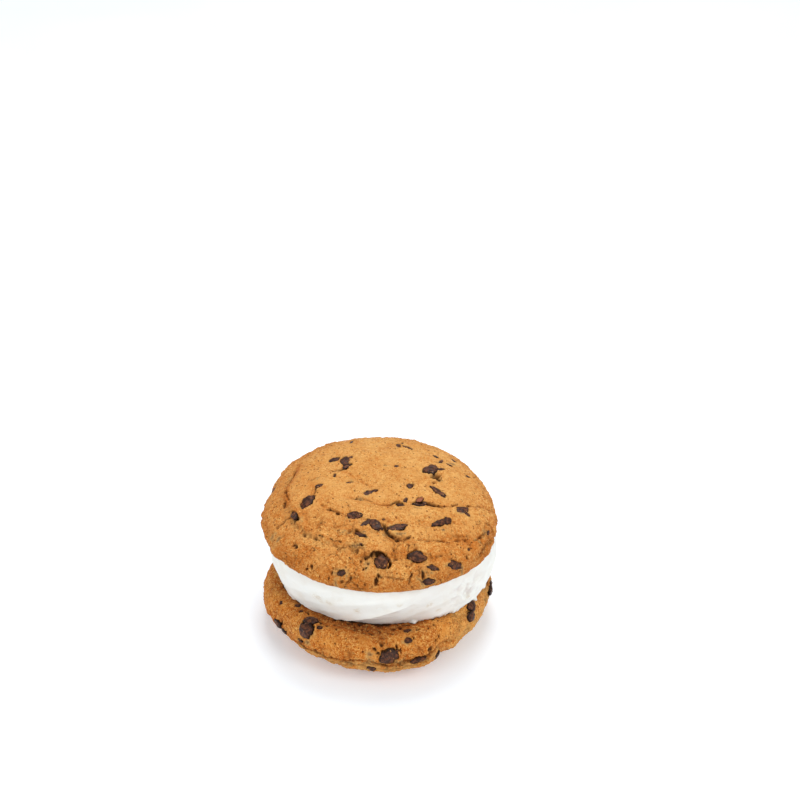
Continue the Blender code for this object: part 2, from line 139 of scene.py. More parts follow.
# Soft valleys between the folds of the upper cookie: depth, half width and path
TOP_FOLDS = (
    (0.90, 1.8, ((-12.0, -7.0), (-8.0, -8.8), (-2.0, -10.3), (4.0, -11.2), (10.0, -10.2), (16.0, -9.2),
                 (22.0, -9.7), (30.0, -7.4), (40.0, -2.6))),
    (1.10, 2.1, ((-21.0, -10.0), (-17.5, -14.0), (-12.0, -17.6), (-4.0, -19.4), (3.0, -19.2), (12.0, -20.8),
                 (20.0, -19.6), (27.0, -16.0))),
    (1.25, 2.1, ((-15.0, -22.0), (-9.0, -25.5), (-4.0, -25.0), (1.0, -24.6), (3.6, -27.6), (8.0, -28.2),
                 (15.0, -27.2), (22.0, -25.6), (31.0, -22.2), (37.0, -16.6))),
    (0.60, 1.3, ((-12.4, 8.4), (-10.4, 4.8), (-8.0, 2.2), (-4.4, 0.0))),
    (0.75, 1.8, ((4.0, -34.0), (10.0, -32.4), (18.0, -33.0), (28.0, -30.6))),
    (0.45, 1.6, ((-24.0, 0.0), (-25.0, -5.0), (-28.0, -12.0), (-25.0, -20.0))),
    (0.60, 1.1, ((-29.8, 17.2), (-32.2, 10.0), (-33.8, 4.2), (-34.2, -0.5), (-32.8, -6.2))),
)
FOLD_BOTTOM = 0.42

# Cracks of the upper cookie: depth, half width and path
TOP_CRACKS = (
    (2.1, 0.44, ((16.0, -9.0), (18.1, -9.4), (21.2, -9.9))),
    (0.9, 0.28, ((21.2, -9.8), (25.0, -9.2), (27.4, -7.6))),
    (0.8, 0.26, ((31.0, -6.9), (34.0, -6.0), (38.1, -4.2), (41.0, -2.0))),
    (0.6, 0.24, ((-9.4, -8.8), (-6.9, -7.7), (-3.0, -9.3))),
    (0.9, 0.28, ((-1.2, -10.8), (0.5, -11.2), (3.1, -11.2), (5.4, -9.8))),
    (0.5, 0.40, ((1.0, -20.6), (1.4, -22.2))),
    (2.3, 0.60, ((1.2, -21.8), (1.7, -23.6), (2.6, -25.4), (4.3, -26.8))),
    (1.0, 0.34, ((4.1, -26.9), (5.4, -27.9), (8.0, -27.9), (10.5, -26.6))),
    (0.75, 0.26, ((14.4, -27.0), (16.4, -27.4), (17.9, -27.0), (19.1, -26.2), (21.4, -26.0), (24.0, -25.2),
                  (28.3, -24.0), (30.2, -22.6), (31.6, -22.9))),
    (0.55, 0.22, ((33.6, -21.2), (35.2, -19.4), (36.6, -17.6), (38.0, -15.6))),
    (0.9, 0.34, ((-18.6, -13.2), (-18.0, -13.7), (-15.2, -15.5), (-14.6, -15.7))),
    (0.4, 0.26, ((-11.3, -11.9), (-10.9, -13.4), (-10.7, -15.6))),
    (1.2, 0.30, ((-37.2, -14.8), (-36.6, -15.1), (-34.8, -14.7), (-33.8, -13.3), (-32.4, -13.2))),
    (1.8, 0.28, ((-5.0, -35.3), (-3.6, -34.9), (-1.9, -34.0), (0.2, -34.1), (1.6, -34.5), (2.8, -35.3),
                 (3.5, -36.5))),
    (1.6, 0.36, ((3.5, -36.6), (3.5, -37.2), (3.0, -37.9))),
    (1.0, 0.24, ((-9.9, -31.4), (-8.9, -32.6), (-7.6, -33.0))),
    (0.9, 0.22, ((-17.5, -27.6), (-16.3, -28.7), (-14.0, -29.0))),
    (0.4, 0.22, ((-21.6, -25.8), (-20.4, -26.4), (-19.4, -26.8))),
    (0.5, 0.30, ((-27.7, -21.3), (-26.4, -23.6))),
    (0.8, 0.30, ((-24.0, -4.6), (-23.6, -3.4), (-23.2, -1.6))),
    (1.3, 0.46, ((-17.6, 8.2), (-14.6, 8.6), (-12.2, 10.4), (-10.8, 12.4))),
    (0.5, 0.24, ((-25.0, 3.0), (-23.6, 4.6), (-22.2, 4.9))),
    (0.9, 0.26, ((-29.8, 17.0), (-31.2, 13.6), (-31.6, 10.6), (-33.0, 8.4), (-33.4, 4.6), (-34.4, 2.2),
                 (-34.0, -1.0), (-33.4, -3.6), (-32.6, -6.2))),
    (0.6, 0.26, ((9.6, -29.4), (10.2, -30.4), (10.1, -31.6), (9.8, -32.9))),
    (0.7, 0.24, ((5.0, -32.3), (5.2, -33.2))),
    (0.9, 0.28, ((5.3, -34.4), (5.2, -35.6))),
    (0.35, 0.24, ((17.9, -32.0), (18.4, -33.2))),
    (0.4, 0.30, ((38.6, -18.6), (37.0, -22.0), (35.0, -25.6))),
    (0.5, 0.22, ((-0.4, -40.2), (2.3, -40.4), (5.2, -40.4), (8.6, -40.2))),
    (1.0, 0.34, ((11.3, -38.9), (10.8, -39.6), (10.5, -40.6))),
    (0.6, 0.22, ((4.6, -40.0), (4.9, -40.9))),
    (0.6, 0.24, ((31.3, -24.2), (32.3, -23.0))),
    (0.5, 0.24, ((36.0, -18.2), (37.4, -16.2), (38.8, -15.8))),
    (0.7, 0.24, ((23.0, -33.9), (24.2, -33.6))),
    (0.6, 0.20, ((-10.9, -38.2), (-10.2, -39.3))),
    (0.6, 0.30, ((27.6, -33.9), (29.0, -33.6))),
)
CRACK_WANDER = 0.36
# Cracks deeper than this have no gaps
DEEP_CRACK = 1.5

# Broad lumps, as the solids have them: height, length, and the noise layer of each cookie
LUMP_HEIGHT = 0.55
LUMP_LENGTH = 13.0
TOP_LUMP_LAYER = 3.0
LOW_LUMP_LAYER = 21.0
# Rings of the domed underside: depth, distance from the axis and half width
DOME_RINGS = ((0.8, 39.6, 0.9), (0.4, 33.0, 1.2))
RING_LAYER = 30.0

# How deep a chip's outline lies in the dough, and its socket's depth, margin and greatest height
CHIP_SEAT = 0.14
SOCKET_DEPTH = 1.7
SOCKET_MARGIN = 3.2
SOCKET_HEIGHT = 4.0
# Lengths from which a chip gets more faces, and where the rays start that place the chips
LONG_CHIP = 5.6
SHORT_CHIP = 1.9
AIM_START = 60.0
LOW_AIM_START = 30.0
# First seed of the chips that show and of the hidden ones
TOP_CHIP_SEEDS = (100, 200)
LOW_CHIP_SEEDS = (300, 400)
# Share of a smear's length and width at which it has faded
SPOT_SHARE = 0.65

# Chips of the upper cookie: middle, length, width, heading in degrees and how far they stand proud
TOP_CHIPS = (
    (18.2, 10.6, 7.0, 5.6, 60, 0.85), (-26.3, -8.4, 7.8, 5.3, 50, 0.45), (0.6, -36.4, 5.4, 5.0, 90, 1.30),
    (-1.9, -21.6, 6.0, 4.6, -60, 0.45), (-13.2, 14.2, 6.6, 3.0, 80, 0.30), (6.1, -22.8, 8.0, 3.2, 22, 0.40),
    (12.9, -34.0, 7.2, 3.8, -14, 0.70), (21.3, -18.1, 7.6, 2.5, 32, 0.30), (29.3, -10.0, 5.2, 3.6, 20, 0.25),
    (21.0, -2.5, 7.4, 2.5, -42, 0.40), (-30.7, -14.0, 6.6, 2.5, -65, 0.40), (-9.3, -17.4, 6.2, 3.0, -2, 0.30),
    (13.7, -10.0, 5.2, 3.1, 8, 0.40), (-16.9, 16.2, 3.8, 3.4, 20, 0.30), (-4.3, -5.2, 3.6, 2.6, 20, 0.25),
    (26.8, -32.5, 5.2, 3.0, -2, 0.50), (-7.2, -26.4, 5.2, 2.3, -42, 0.30), (10.0, 25.8, 5.6, 1.2, -40, 0.10),
    (10.5, -0.7, 3.3, 2.2, 85, 0.30), (7.1, -10.8, 3.4, 2.4, -10, 0.20), (-22.2, -0.5, 3.4, 2.0, 20, 0.25),
    (-5.0, -21.4, 4.2, 2.0, 36, 0.25), (-24.5, -6.6, 3.0, 2.4, 80, 0.25), (-0.2, -23.1, 3.0, 2.2, -70, 0.25),
    (-12.4, 10.8, 3.4, 1.7, 35, 0.15), (-11.4, 16.6, 2.6, 1.3, 40, 0.15), (-2.2, -4.0, 3.0, 1.7, 20, 0.20),
    (24.1, -16.4, 3.0, 2.5, 50, 0.25), (22.0, 11.6, 3.0, 1.5, 30, 0.20), (15.7, -9.3, 2.2, 1.6, 40, 0.20),
    (14.1, -7.9, 3.6, 2.2, 50, 0.30), (31.2, -11.8, 2.2, 1.4, -20, 0.15), (9.0, -8.4, 2.4, 1.5, 70, 0.15),
    (22.2, 17.6, 3.0, 1.3, 60, 0.15), (17.4, -38.9, 4.2, 2.2, 12, 0.30), (-13.1, -38.5, 3.2, 1.9, 12, 0.35),
    (6.4, 27.0, 3.8, 2.0, 85, 0.25), (18.9, -35.6, 4.2, 1.8, -14, 0.25), (20.1, 21.1, 2.4, 1.3, -40, 0.15),
    (27.0, 21.4, 2.3, 1.0, -60, 0.10), (25.2, 16.3, 2.6, 0.8, -35, 0.05), (31.9, 11.3, 1.7, 1.3, 0, 0.15),
    (5.7, 10.9, 1.9, 1.2, 10, 0.10), (-16.7, 5.0, 2.2, 1.0, 80, 0.05), (-11.0, 0.8, 3.2, 0.9, 12, 0.05),
    (38.9, -14.8, 2.7, 1.5, 75, 0.20), (-39.0, 9.8, 2.8, 2.2, 80, 0.35), (-11.0, 31.0, 3.6, 1.2, 85, 0.05),
    (-3.2, -42.2, 2.6, 2.0, 80, 0.30), (-4.0, -18.9, 1.2, 0.9, 0, 0.05), (1.3, -18.8, 1.1, 0.8, 0, 0.05),
    (31.6, -26.0, 1.4, 1.0, 40, 0.05), (7.8, 29.3, 1.6, 1.0, 70, 0.05),
    (16.0, -39.8, 1.6, 1.0, 0, 0.15), (2.6, -35.2, 2.0, 1.2, -40, 0.30), (-6.7, -31.0, 1.0, 0.8, 0, 0.05),
)
# The chips that look reddish, by their middles
TOP_REDDISH = ((14.1, -7.9),)
# Holes: middle, length, width, heading and depth
TOP_HOLES = (
    (20.2, 7.3, 4.6, 2.6, 40, 2.2), (21.2, 5.2, 2.2, 2.6, 0, 1.9), (19.4, 3.0, 1.4, 1.4, 0, 1.3),
    (-13.8, 9.2, 5.0, 1.1, 18, 1.3), (-29.7, -26.2, 1.5, 1.9, 0, 1.0), (-30.6, -25.4, 1.5, 0.9, 0, 0.8),
    (-18.3, -13.5, 1.2, 1.5, 0, 1.1), (-15.0, -15.6, 1.8, 0.9, -20, 1.0),
    (-20.9, -19.6, 1.0, 0.8, 0, 0.7), (-34.6, -5.4, 1.3, 2.6, 0, 0.8), (-23.0, -29.6, 1.0, 0.7, 20, 0.7),
    (-10.0, -40.0, 1.0, 0.8, 0, 0.6), (32.7, -25.0, 1.1, 0.9, 0, 0.7), (-8.6, -7.9, 1.4, 0.7, 30, 0.6),
    (-1.0, -41.2, 1.3, 1.6, -25, 1.3), (-0.2, -40.1, 0.8, 1.0, 0, 0.8), (3.6, -36.9, 1.1, 2.6, -20, 1.3),
    (-21.5, -25.7, 0.8, 0.5, -20, 0.7), (-7.9, -33.2, 0.9, 0.45, -20, 0.6), (15.8, -8.9, 1.2, 0.8, 0, 0.9),
    (15.3, -38.0, 1.3, 1.9, 0, 1.1), (39.0, -17.4, 1.0, 1.2, 0, 0.8), (31.2, -28.6, 1.0, 0.9, 0, 0.7),
    (-5.7, -38.4, 1.0, 0.9, 0, 0.9), (-4.6, -38.2, 0.9, 0.7, 0, 0.7), (-6.6, -35.9, 1.0, 0.7, 0, 0.8),
    (-20.5, -26.2, 0.7, 0.45, 0, 0.6), (-20.2, -26.6, 0.6, 0.4, 0, 0.4), (-22.6, -24.8, 0.6, 0.5, 0, 0.4),
    (-13.9, -29.3, 0.9, 0.5, 0, 0.6), (-23.9, -34.0, 0.8, 1.3, 20, 0.9), (-25.5, -34.2, 1.0, 0.9, 0, 0.9),
    (-16.5, -37.7, 0.9, 1.2, 10, 1.0), (-17.7, -38.3, 0.9, 0.8, 0, 0.8), (-2.4, -42.0, 1.0, 0.9, 0, 0.8),
)
# Smears of chocolate on the dough: middle, length and width
TOP_SMEARS = (
    (-8.0, -31.0, 4.4, 2.4), (-12.6, -25.0, 3.6, 1.6), (-9.5, -30.0, 3.2, 2.0), (7.2, -25.6, 4.6, 1.5),
    (1.0, -25.8, 3.0, 2.2), (-4.6, -25.2, 3.0, 1.6), (-37.8, -17.8, 2.2, 3.0), (-36.2, -20.6, 2.4, 2.4),
    (-13.6, -37.8, 4.0, 1.3), (-15.2, -39.8, 2.4, 1.6), (-11.0, -39.2, 1.6, 1.6), (17.2, -37.6, 4.4, 1.6),
    (15.0, -39.4, 2.6, 1.4), (29.0, -32.2, 1.4, 2.2), (29.6, -12.4, 3.4, 1.6), (37.6, -16.0, 1.8, 3.4),
    (35.4, -20.4, 3.4, 1.2), (-28.4, -16.6, 2.4, 2.0), (-7.8, -8.2, 3.4, 1.4), (-23.6, 3.6, 2.6, 1.2),
    (-10.6, 1.6, 3.2, 1.2), (26.4, 17.6, 4.0, 2.0), (2.6, 11.0, 2.6, 1.0), (-4.2, -37.2, 1.6, 2.2),
    (22.6, -21.0, 3.4, 1.2), (13.4, -12.8, 3.2, 1.0), (6.0, -12.6, 3.0, 1.2), (21.9, 4.0, 2.4, 1.4),
)
# Chips on the side that doesn't show: how many, directions, heights, lengths and how far they stand proud
TOP_HIDDEN_CHIPS = 10
TOP_HIDDEN_SPAN = (124, 238)
TOP_HIDDEN_LEVEL = (3.2, 5.6)
TOP_HIDDEN_LENGTH = (2.0, 5.0)
TOP_HIDDEN_PROUD = (0.1, 0.4)

# Chips of the lower cookie: direction, place outward along the surface, length, width, heading, proud
LOW_CHIPS = (
    (-40.8, 41.6, 6.3, 6.0, 90, 1.90), (6.0, 44.3, 7.6, 6.0, 0, 0.70), (-42, 36.9, 6.6, 4.6, 40, 1.00),
    (64.8, 40.7, 4.8, 3.6, 27, 0.70), (60.4, 43.9, 4.1, 3.9, 60, 1.30), (-65.2, 48.1, 5.4, 3.4, -30, 1.00),
    (-59.2, 48.8, 5.2, 2.2, -30, 0.80), (89.5, 45.7, 8.6, 3.0, 0, 0.80), (20.4, 46.5, 6.4, 1.9, 0, 0.25),
    (32.0, 48.4, 3.6, 2.4, 0, 0.60), (16.8, 39.4, 3.2, 2.2, 0, 0.20), (-43.0, 46.2, 2.4, 0.9, 30, 0.10),
    (-67.6, 40.6, 1.8, 1.3, 0, 0.15), (-58.6, 36.0, 2.4, 2.0, 40, 0.25), (-2.9, 48.7, 3.2, 2.4, 0, 0.50),
    (-52.8, 36.3, 1.4, 1.0, 30, 0.05), (18.8, 33.8, 3.0, 1.5, 0, 0.10), (9.6, 43.0, 2.4, 1.3, 70, 0.50),
    (-34.6, 38.2, 2.4, 1.6, 20, 0.05),
)
# Holes: direction, place outward along the surface, size round the pie, size outward and depth
LOW_HOLES = (
    (-1.4, 41.9, 1.6, 1.4, 1.2), (0.1, 43.1, 1.8, 1.3, 1.3),
    (10.2, 41.4, 0.9, 2.2, 1.2), (12.2, 43.0, 0.8, 2.2, 1.2),
    (27.6, 44.6, 2.4, 2.2, 1.4), (32.4, 43.7, 2.0, 1.5, 1.1), (35.6, 43.3, 1.3, 0.9, 0.7),
    (2.0, 39.7, 1.4, 1.8, 0.9), (20.0, 38.3, 0.8, 2.0, 0.6), (-33.2, 47.1, 1.8, 0.9, 0.6),
    (10.4, 31.8, 2.5, 2.0, 1.4), (14.8, 31.6, 1.6, 2.0, 1.3), (24.8, 34.2, 2.0, 1.3, 1.2),
    (7.6, 34.2, 2.4, 0.9, 0.7), (-9.2, 34.1, 1.1, 1.1, 1.0), (-4.2, 34.2, 1.9, 0.9, 1.1),
    (30.8, 36.7, 1.2, 1.0, 0.7), (35.6, 37.8, 0.9, 1.6, 0.7), (-36.4, 35.2, 1.7, 1.3, 0.9),
    (-22.4, 42.1, 0.9, 0.9, 0.6), (44.8, 40.0, 0.8, 0.7, 0.5), (50.4, 42.1, 0.9, 0.7, 0.5),
    (-62.0, 34.6, 1.8, 1.2, 0.7), (-14.0, 32.2, 1.6, 0.7, 0.7), (-28.0, 33.4, 1.4, 0.8, 0.6),
    (20.6, 30.6, 3.4, 1.1, 1.2), (38.6, 34.6, 2.4, 0.8, 0.9), (62.8, 42.2, 1.3, 2.2, 0.9),
    (-53.0, 37.4, 1.2, 0.9, 0.8), (-49.0, 34.6, 1.8, 0.8, 0.9), (-57.0, 33.2, 1.4, 1.0, 0.8),
    (-6.0, 33.0, 1.2, 1.2, 1.0), (-2.6, 34.8, 1.4, 0.8, 0.9), (-20.4, 30.2, 1.8, 0.9, 1.0),
    (-8.4, 30.2, 2.4, 1.0, 1.1), (2.0, 32.7, 1.0, 1.0, 0.8), (9.2, 34.7, 1.6, 0.8, 0.9),
    (-14.4, 33.1, 1.0, 1.1, 0.9), (-17.2, 38.7, 0.9, 0.8, 0.7), (-11.2, 37.9, 0.9, 0.7, 0.6),
    (-7.2, 43.3, 0.9, 0.8, 0.6), (-25.6, 35.3, 1.2, 1.0, 0.8), (-32.0, 35.6, 1.0, 0.9, 0.8),
    (3.2, 36.8, 2.0, 0.6, 0.6), (-41.0, 35.6, 1.2, 0.8, 0.8),
)
# Hidden chips as above, with their place outward from the rim of the flat side
LOW_HIDDEN_CHIPS = 30
LOW_HIDDEN_SPAN = (100, 262)
LOW_HIDDEN_REACH = (2.0, 16.0)
LOW_HIDDEN_LENGTH = (2.2, 6.8)
LOW_HIDDEN_PROUD = (0.1, 0.5)
# Ledge round the front edge: height by direction, where it starts and ends, its fades, and how far
# below it a second one runs
LEDGE_LEVELS = (
    (-75, 8.4), (-51, 8.9), (-43, 9.7), (-35, 9.6), (-26, 8.9), (-17, 10.5), (-9, 11.2), (-1, 10.8),
    (5, 9.9), (9, 9.6), (15, 10.6), (24, 11.6), (34, 11.8), (60, 9.6),
)
LEDGE_SPAN = (-64, 40)
LEDGE_FADE = (24.0, 10.0)
LEDGE_BELOW = 2.2
LEDGE_THICKNESS = 0.30
# Smears: direction, place outward along the surface, size round the pie and size outward
LOW_SMEARS = ((-3.6, 44.0, 2.6, 2.6), (-1.4, 46.4, 3.6, 1.6), (16.8, 39.8, 4.0, 2.8), (10.8, 46.4, 3.0, 1.6),
              (-39.0, 45.2, 3.4, 1.6), (61.5, 46.6, 2.6, 1.6), (19.0, 34.4, 3.0, 1.4))
# How far the brown band beside the cream reaches, and how strong it is, by direction. The band is partly
# browner dough and partly painted shade under the cream and the upper cookie's overhang.
BAND_REACH = ((-120, 4.0), (-60, 4.6), (-30, 5.6), (-12, 6.4), (6, 6.2), (20, 4.4), (36, 2.6), (70, 2.2),
              (120, 3.6))
BAND_STRENGTH = ((-120, 0.45), (-60, 0.6), (-30, 0.68), (-12, 1.0), (8, 1.0), (24, 0.9), (40, 0.7),
                 (80, 0.6))
# Swellings of the slab below the ledge
SLAB_SWELLS = ((16, 15, 0.9), (-34, 14, 0.25), (-150, 40, 0.4))


def rgb(red, green, blue):
    """Colour as a screen shows it, 0 to 255 a channel, turned into the linear values of a shader."""
    linear = []
    for channel in (red, green, blue):
        share = channel / 255.0
        linear.append(share / 12.92 if share <= 0.04045 else ((share + 0.055) / 1.055) ** 2.4)
    return (*linear, 1.0)


TOP_LIGHT = rgb(229, 175, 102)
TOP_MIDDLE = rgb(209, 147, 76)
TOP_BROWN = rgb(188, 108, 36)
LOW_LIGHT = rgb(232, 162, 78)
LOW_MIDDLE = rgb(210, 131, 49)
LOW_BROWN = rgb(176, 90, 20)
DOUGH_PALE = rgb(246, 194, 112)
# Toasted brown: for browned specks and flecks, and for the painted shade in the band beside the cream and in
# small pores
DOUGH_TOAST_AND_SHADE = rgb(98, 43, 6)
DOUGH_SPECK = rgb(150, 80, 24)
# Near-black painted shade in cracks, holes, pores, chip sockets and grooves
DOUGH_CAVITY_SHADE = rgb(46, 20, 5)
DOUGH_SMEAR = rgb(202, 156, 90)
DOUGH_SMEAR_DARK = rgb(134, 102, 66)
# Painted shade towards a chip's edge, and its darker patches
CHOCOLATE_DEEP_AND_SHADE = rgb(30, 12, 5)
CHOCOLATE = rgb(54, 26, 12)
CHOCOLATE_LIGHT = rgb(108, 62, 36)
CHOCOLATE_REDDISH = rgb(150, 82, 46)
CREAM_WHITE = rgb(233, 232, 226)
CREAM_WARM = rgb(227, 223, 214)
CREAM_STAIN = rgb(198, 180, 150)
CREAM_SHADED = rgb(204, 192, 186)
FLOOR_WHITE = rgb(238, 244, 249)
FLOOR_SHADE = rgb(234, 240, 246)


# Noise on arrays of points. The last number of a call is its seed.

def mixed_bits(ix, iy, iz, seed):
    """Repeatable pseudo-random whole number for each lattice cell."""
    bits = (ix.astype(np.uint32) * np.uint32(73856093)) ^ (iy.astype(np.uint32) * np.uint32(19349663))
    bits ^= (iz.astype(np.uint32) * np.uint32(83492791)) ^ np.uint32(seed * 2654435 % 4294967291)
    bits ^= bits >> np.uint32(16)
    bits *= np.uint32(2146121005)
    bits ^= bits >> np.uint32(15)
    bits *= np.uint32(2221713035)
    bits ^= bits >> np.uint32(16)
    return bits


def gradient_noise(points, seed):
    """Smooth noise between about -1 and 1 at points counted in cells."""
    cell = np.floor(points).astype(np.int64)
    part = points - cell
    ease = part * part * part * (part * (part * 6.0 - 15.0) + 10.0)
    total = np.zeros(len(points))
    for corner in range(8):
        step = np.array([corner & 1, (corner >> 1) & 1, (corner >> 2) & 1])
        bits = mixed_bits(cell[:, 0] + step[0], cell[:, 1] + step[1], cell[:, 2] + step[2], seed)
        angle = (bits & np.uint32(65535)) * (2.0 * math.pi / 65536.0)
        rise = (bits >> np.uint32(16)) * (2.0 / 65536.0) - 1.0
        flat = np.sqrt(1.0 - rise * rise)
        away = part - step
        slope = away[:, 0] * flat * np.cos(angle) + away[:, 1] * flat * np.sin(angle) + away[:, 2] * rise
        share = np.where(step == 1, ease, 1.0 - ease).prod(axis=1)
        total += share * slope
    return total * 1.5


def rough(points, length, octaves, seed):
    """Layered noise whose coarsest waves have the given length."""
    total = np.zeros(len(points))
    weight = 1.0
    for octave in range(octaves):
        total += weight * gradient_noise(points / length + 17.3 * octave, seed + octave)
        length *= 0.5
        weight *= 0.5
    return total


def cells(points, size, seed):
    """Distance to the nearest and second nearest scattered seed point, and a random value of the nearest."""
    scaled = points / size
    cell = np.floor(scaled).astype(np.int64)
    first = np.full(len(points), 9.0)
    second = np.full(len(points), 9.0)
    value = np.zeros(len(points))
    for shift in range(27):
        step = np.array([shift % 3 - 1, shift // 3 % 3 - 1, shift // 9 - 1])
        corner = cell + step
        bits = mixed_bits(corner[:, 0], corner[:, 1], corner[:, 2], seed)
        jitter = np.stack([(bits >> np.uint32(20)), (bits >> np.uint32(10)) & np.uint32(1023),
                           bits & np.uint32(1023)], axis=1)
        jitter = jitter / np.array([4096.0, 1024.0, 1024.0])
        distance = np.linalg.norm(corner + jitter - scaled, axis=1)
        nearer = distance < first
        second = np.where(nearer, first, np.minimum(second, distance))
        first = np.where(nearer, distance, first)
        value = np.where(nearer, (bits % np.uint32(9973)) / 9973.0, value)
    return first * size, second * size, value


def granules(points, size, seed):
    """Packed rounded grains: height from about -0.5 between grains to 0.5 on the largest."""
    warped = points + 0.22 * size * np.stack([gradient_noise(points / size, seed + 31 + axis)
                                              for axis in range(3)], axis=1)
    first, _, value = cells(warped, size, seed)
    dome = 1.0 - np.clip(first / (0.72 * size), 0.0, 1.0) ** 2
    return dome * (0.45 + 0.75 * value) - 0.5


# Shape helpers on arrays

def clipped_noise(points, base, gain, length, octaves, seed, low=0.0, high=1.0):
    """Layered noise about a base, cut off at both ends."""
    return np.clip(base + gain * rough(points, length, octaves, seed), low, high)


def ramp(value, low, high):
    """Nought up to low, one from high on, and a smooth rise between."""
    share = np.clip((value - low) / (high - low), 0.0, 1.0)
    return share * share * (3.0 - 2.0 * share)


def bell(distance, half_width):
    """One where the distance is nought, and a smooth fall on both sides."""
    return np.exp(-((distance / half_width) ** 2))


def spot(u, v, length, width):
    """One in the middle of a soft oval spot, and a smooth fall all round."""
    return np.exp(-((u / (SPOT_SHARE * length)) ** 2) - (v / (SPOT_SHARE * width)) ** 2)


def swell(direction, swells):
    """Sum of the swellings of an outline at each direction."""
    total = np.zeros_like(direction)
    for middle, half_width, height in swells:
        turn = (direction - middle + 180.0) % 360.0 - 180.0
        total += height * bell(turn, half_width)
    return total


def along_table(direction, table):
    """Value at each direction from a table of directions and values."""
    rows = np.array(table, dtype=float)
    return np.interp(direction, rows[:, 0], rows[:, 1])


def widened(points, radius, out):
    """Points moved away from the axis, each by its own amount."""
    scale = (radius + out) / np.maximum(radius, 1e-6)
    return points * np.stack([scale, scale, np.ones_like(scale)], axis=1)


def outward_at(direction):
    """Level direction away from the axis."""
    angle = math.radians(direction)
    return Vector((math.sin(angle), -math.cos(angle), 0.0))


def direction_of(x, y):
    return np.degrees(np.arctan2(x, -y))


def path_distance(x, y, path):
    """Distance of each point to the nearest piece of a path."""
    nearest = np.full(len(x), 1e9)
    for (ax, ay), (bx, by) in zip(path, path[1:]):
        run_x = bx - ax
        run_y = by - ay
        share = np.clip(((x - ax) * run_x + (y - ay) * run_y) / (run_x ** 2 + run_y ** 2), 0.0, 1.0)
        nearest = np.minimum(nearest, np.hypot(x - ax - share * run_x, y - ay - share * run_y))
    return nearest


def broad_noise(points, level, length):
    """The same broad lumps that the solids have."""
    return np.array([noise.noise(Vector((x, y, level)) / length) for x, y in points[:, :2]])


def vertex_normals(points, triangles):
    """Outward direction at each point, from the triangles round it."""
    corners = points[triangles]
    normal = np.cross(corners[:, 1] - corners[:, 0], corners[:, 2] - corners[:, 0])
    total = np.zeros_like(points)
    for corner in range(3):
        for axis in range(3):
            total[:, axis] += np.bincount(triangles[:, corner], weights=normal[:, axis],
                                          minlength=len(points))
    return total / np.maximum(np.linalg.norm(total, axis=1, keepdims=True), 1e-12)


# Turned surfaces with points evenly spread over them

def stations(profile, spacing):
    """Places along a profile, closer where the spacing asks for it, with both ends kept."""
    outline = np.array(profile)
    steps = np.linalg.norm(np.diff(outline, axis=0), axis=1)
    along = np.concatenate([[0.0], np.cumsum(steps)])
    places = [0.0]
    while True:
        radius = np.interp(places[-1], along, outline[:, 0])
        height = np.interp(places[-1], along, outline[:, 1])
        following = places[-1] + spacing(radius, height)
        if following > along[-1] - 0.5 * spacing(radius, height):
            break
        places.append(following)
    places.append(along[-1])
    places = np.array(places)
    return places, np.interp(places, along, outline[:, 0]), np.interp(places, along, outline[:, 1])


def stitched(rings):
    """Triangles between neighbouring rings, each given as first point, point count and phase."""
    triangles = []
    for (first_a, count_a, phase_a), (first_b, count_b, phase_b) in zip(rings, rings[1:]):
        index_a = 0
        index_b = 0
        while index_a < count_a or index_b < count_b:
            next_a = (index_a + 1) / count_a + phase_a if index_a < count_a else 9.0
            next_b = (index_b + 1) / count_b + phase_b if index_b < count_b else 9.0
            here_a = first_a + index_a % count_a
            here_b = first_b + index_b % count_b
            if next_a <= next_b:
                if count_a > 1:
                    triangles.append((here_a, here_b, first_a + (index_a + 1) % count_a))
                index_a += 1
            else:
                if count_b > 1:
                    triangles.append((here_a, here_b, first_b + (index_b + 1) % count_b))
                index_b += 1
    return np.array(triangles)


def turned(profile, spacing, seed):
    """Closed turned surface whose profile runs from the upper pole down the outside to the lower pole."""
    draw = random.Random(seed)
    places, radii, heights = stations(profile, spacing)
    points = []
    rings = []
    for radius, height in zip(radii, heights):
        count = max(3, round(2.0 * math.pi * radius / spacing(radius, height))) if radius > 1e-6 else 1
        phase = draw.uniform(-0.5, 0.5) / count if count > 1 else 0.0
        rings.append((len(points), count, phase))
        for index in range(count):
            angle = 2.0 * math.pi * (index / count + phase)
            points.append((-radius * math.sin(angle), radius * math.cos(angle), height))
    return np.array(points), stitched(rings)


def quarter_turn(count):
    return [0.5 * math.pi * index / count for index in range(count + 1)]


def top_profile():
    """Upper cookie from its crown over the rim and back along the flat side."""
    points = []
    for angle in quarter_turn(TOP_DOME_STEPS):
        radius = TOP_RADIUS * math.sin(angle)
        rise = math.sqrt(max(0.0, 1.0 - (radius / TOP_RADIUS) ** TOP_FULLNESS))
        points.append((radius, TOP_WAIST + (TOP_HEIGHT - TOP_WAIST) * rise))
    for angle in quarter_turn(TOP_RIM_STEPS)[1:]:
        radius = TOP_FLAT_RADIUS + (TOP_RADIUS - TOP_FLAT_RADIUS) * math.cos(angle)
        points.append((radius, TOP_WAIST * (1.0 - math.sin(angle))))
    points.append((0.0, 0.0))
    return points


def low_profile():
    """Lower cookie from its flat side over the edge and down the dome to the resting place."""
    waist = LOW_HEIGHT - LOW_EDGE_DROP
    points = [(0.0, LOW_HEIGHT)]
    for angle in quarter_turn(LOW_EDGE_STEPS):
        radius = LOW_FLAT_RADIUS + (LOW_RADIUS - LOW_FLAT_RADIUS) * math.sin(angle)
        points.append((radius, waist + LOW_EDGE_DROP * math.cos(angle)))
    for angle in quarter_turn(LOW_DOME_STEPS)[1:]:
        radius = LOW_REST_RADIUS + (LOW_RADIUS - LOW_REST_RADIUS) * math.cos(angle)
        points.append((radius, dome_level(radius)))
    points.append((0.0, 0.0))
    return points


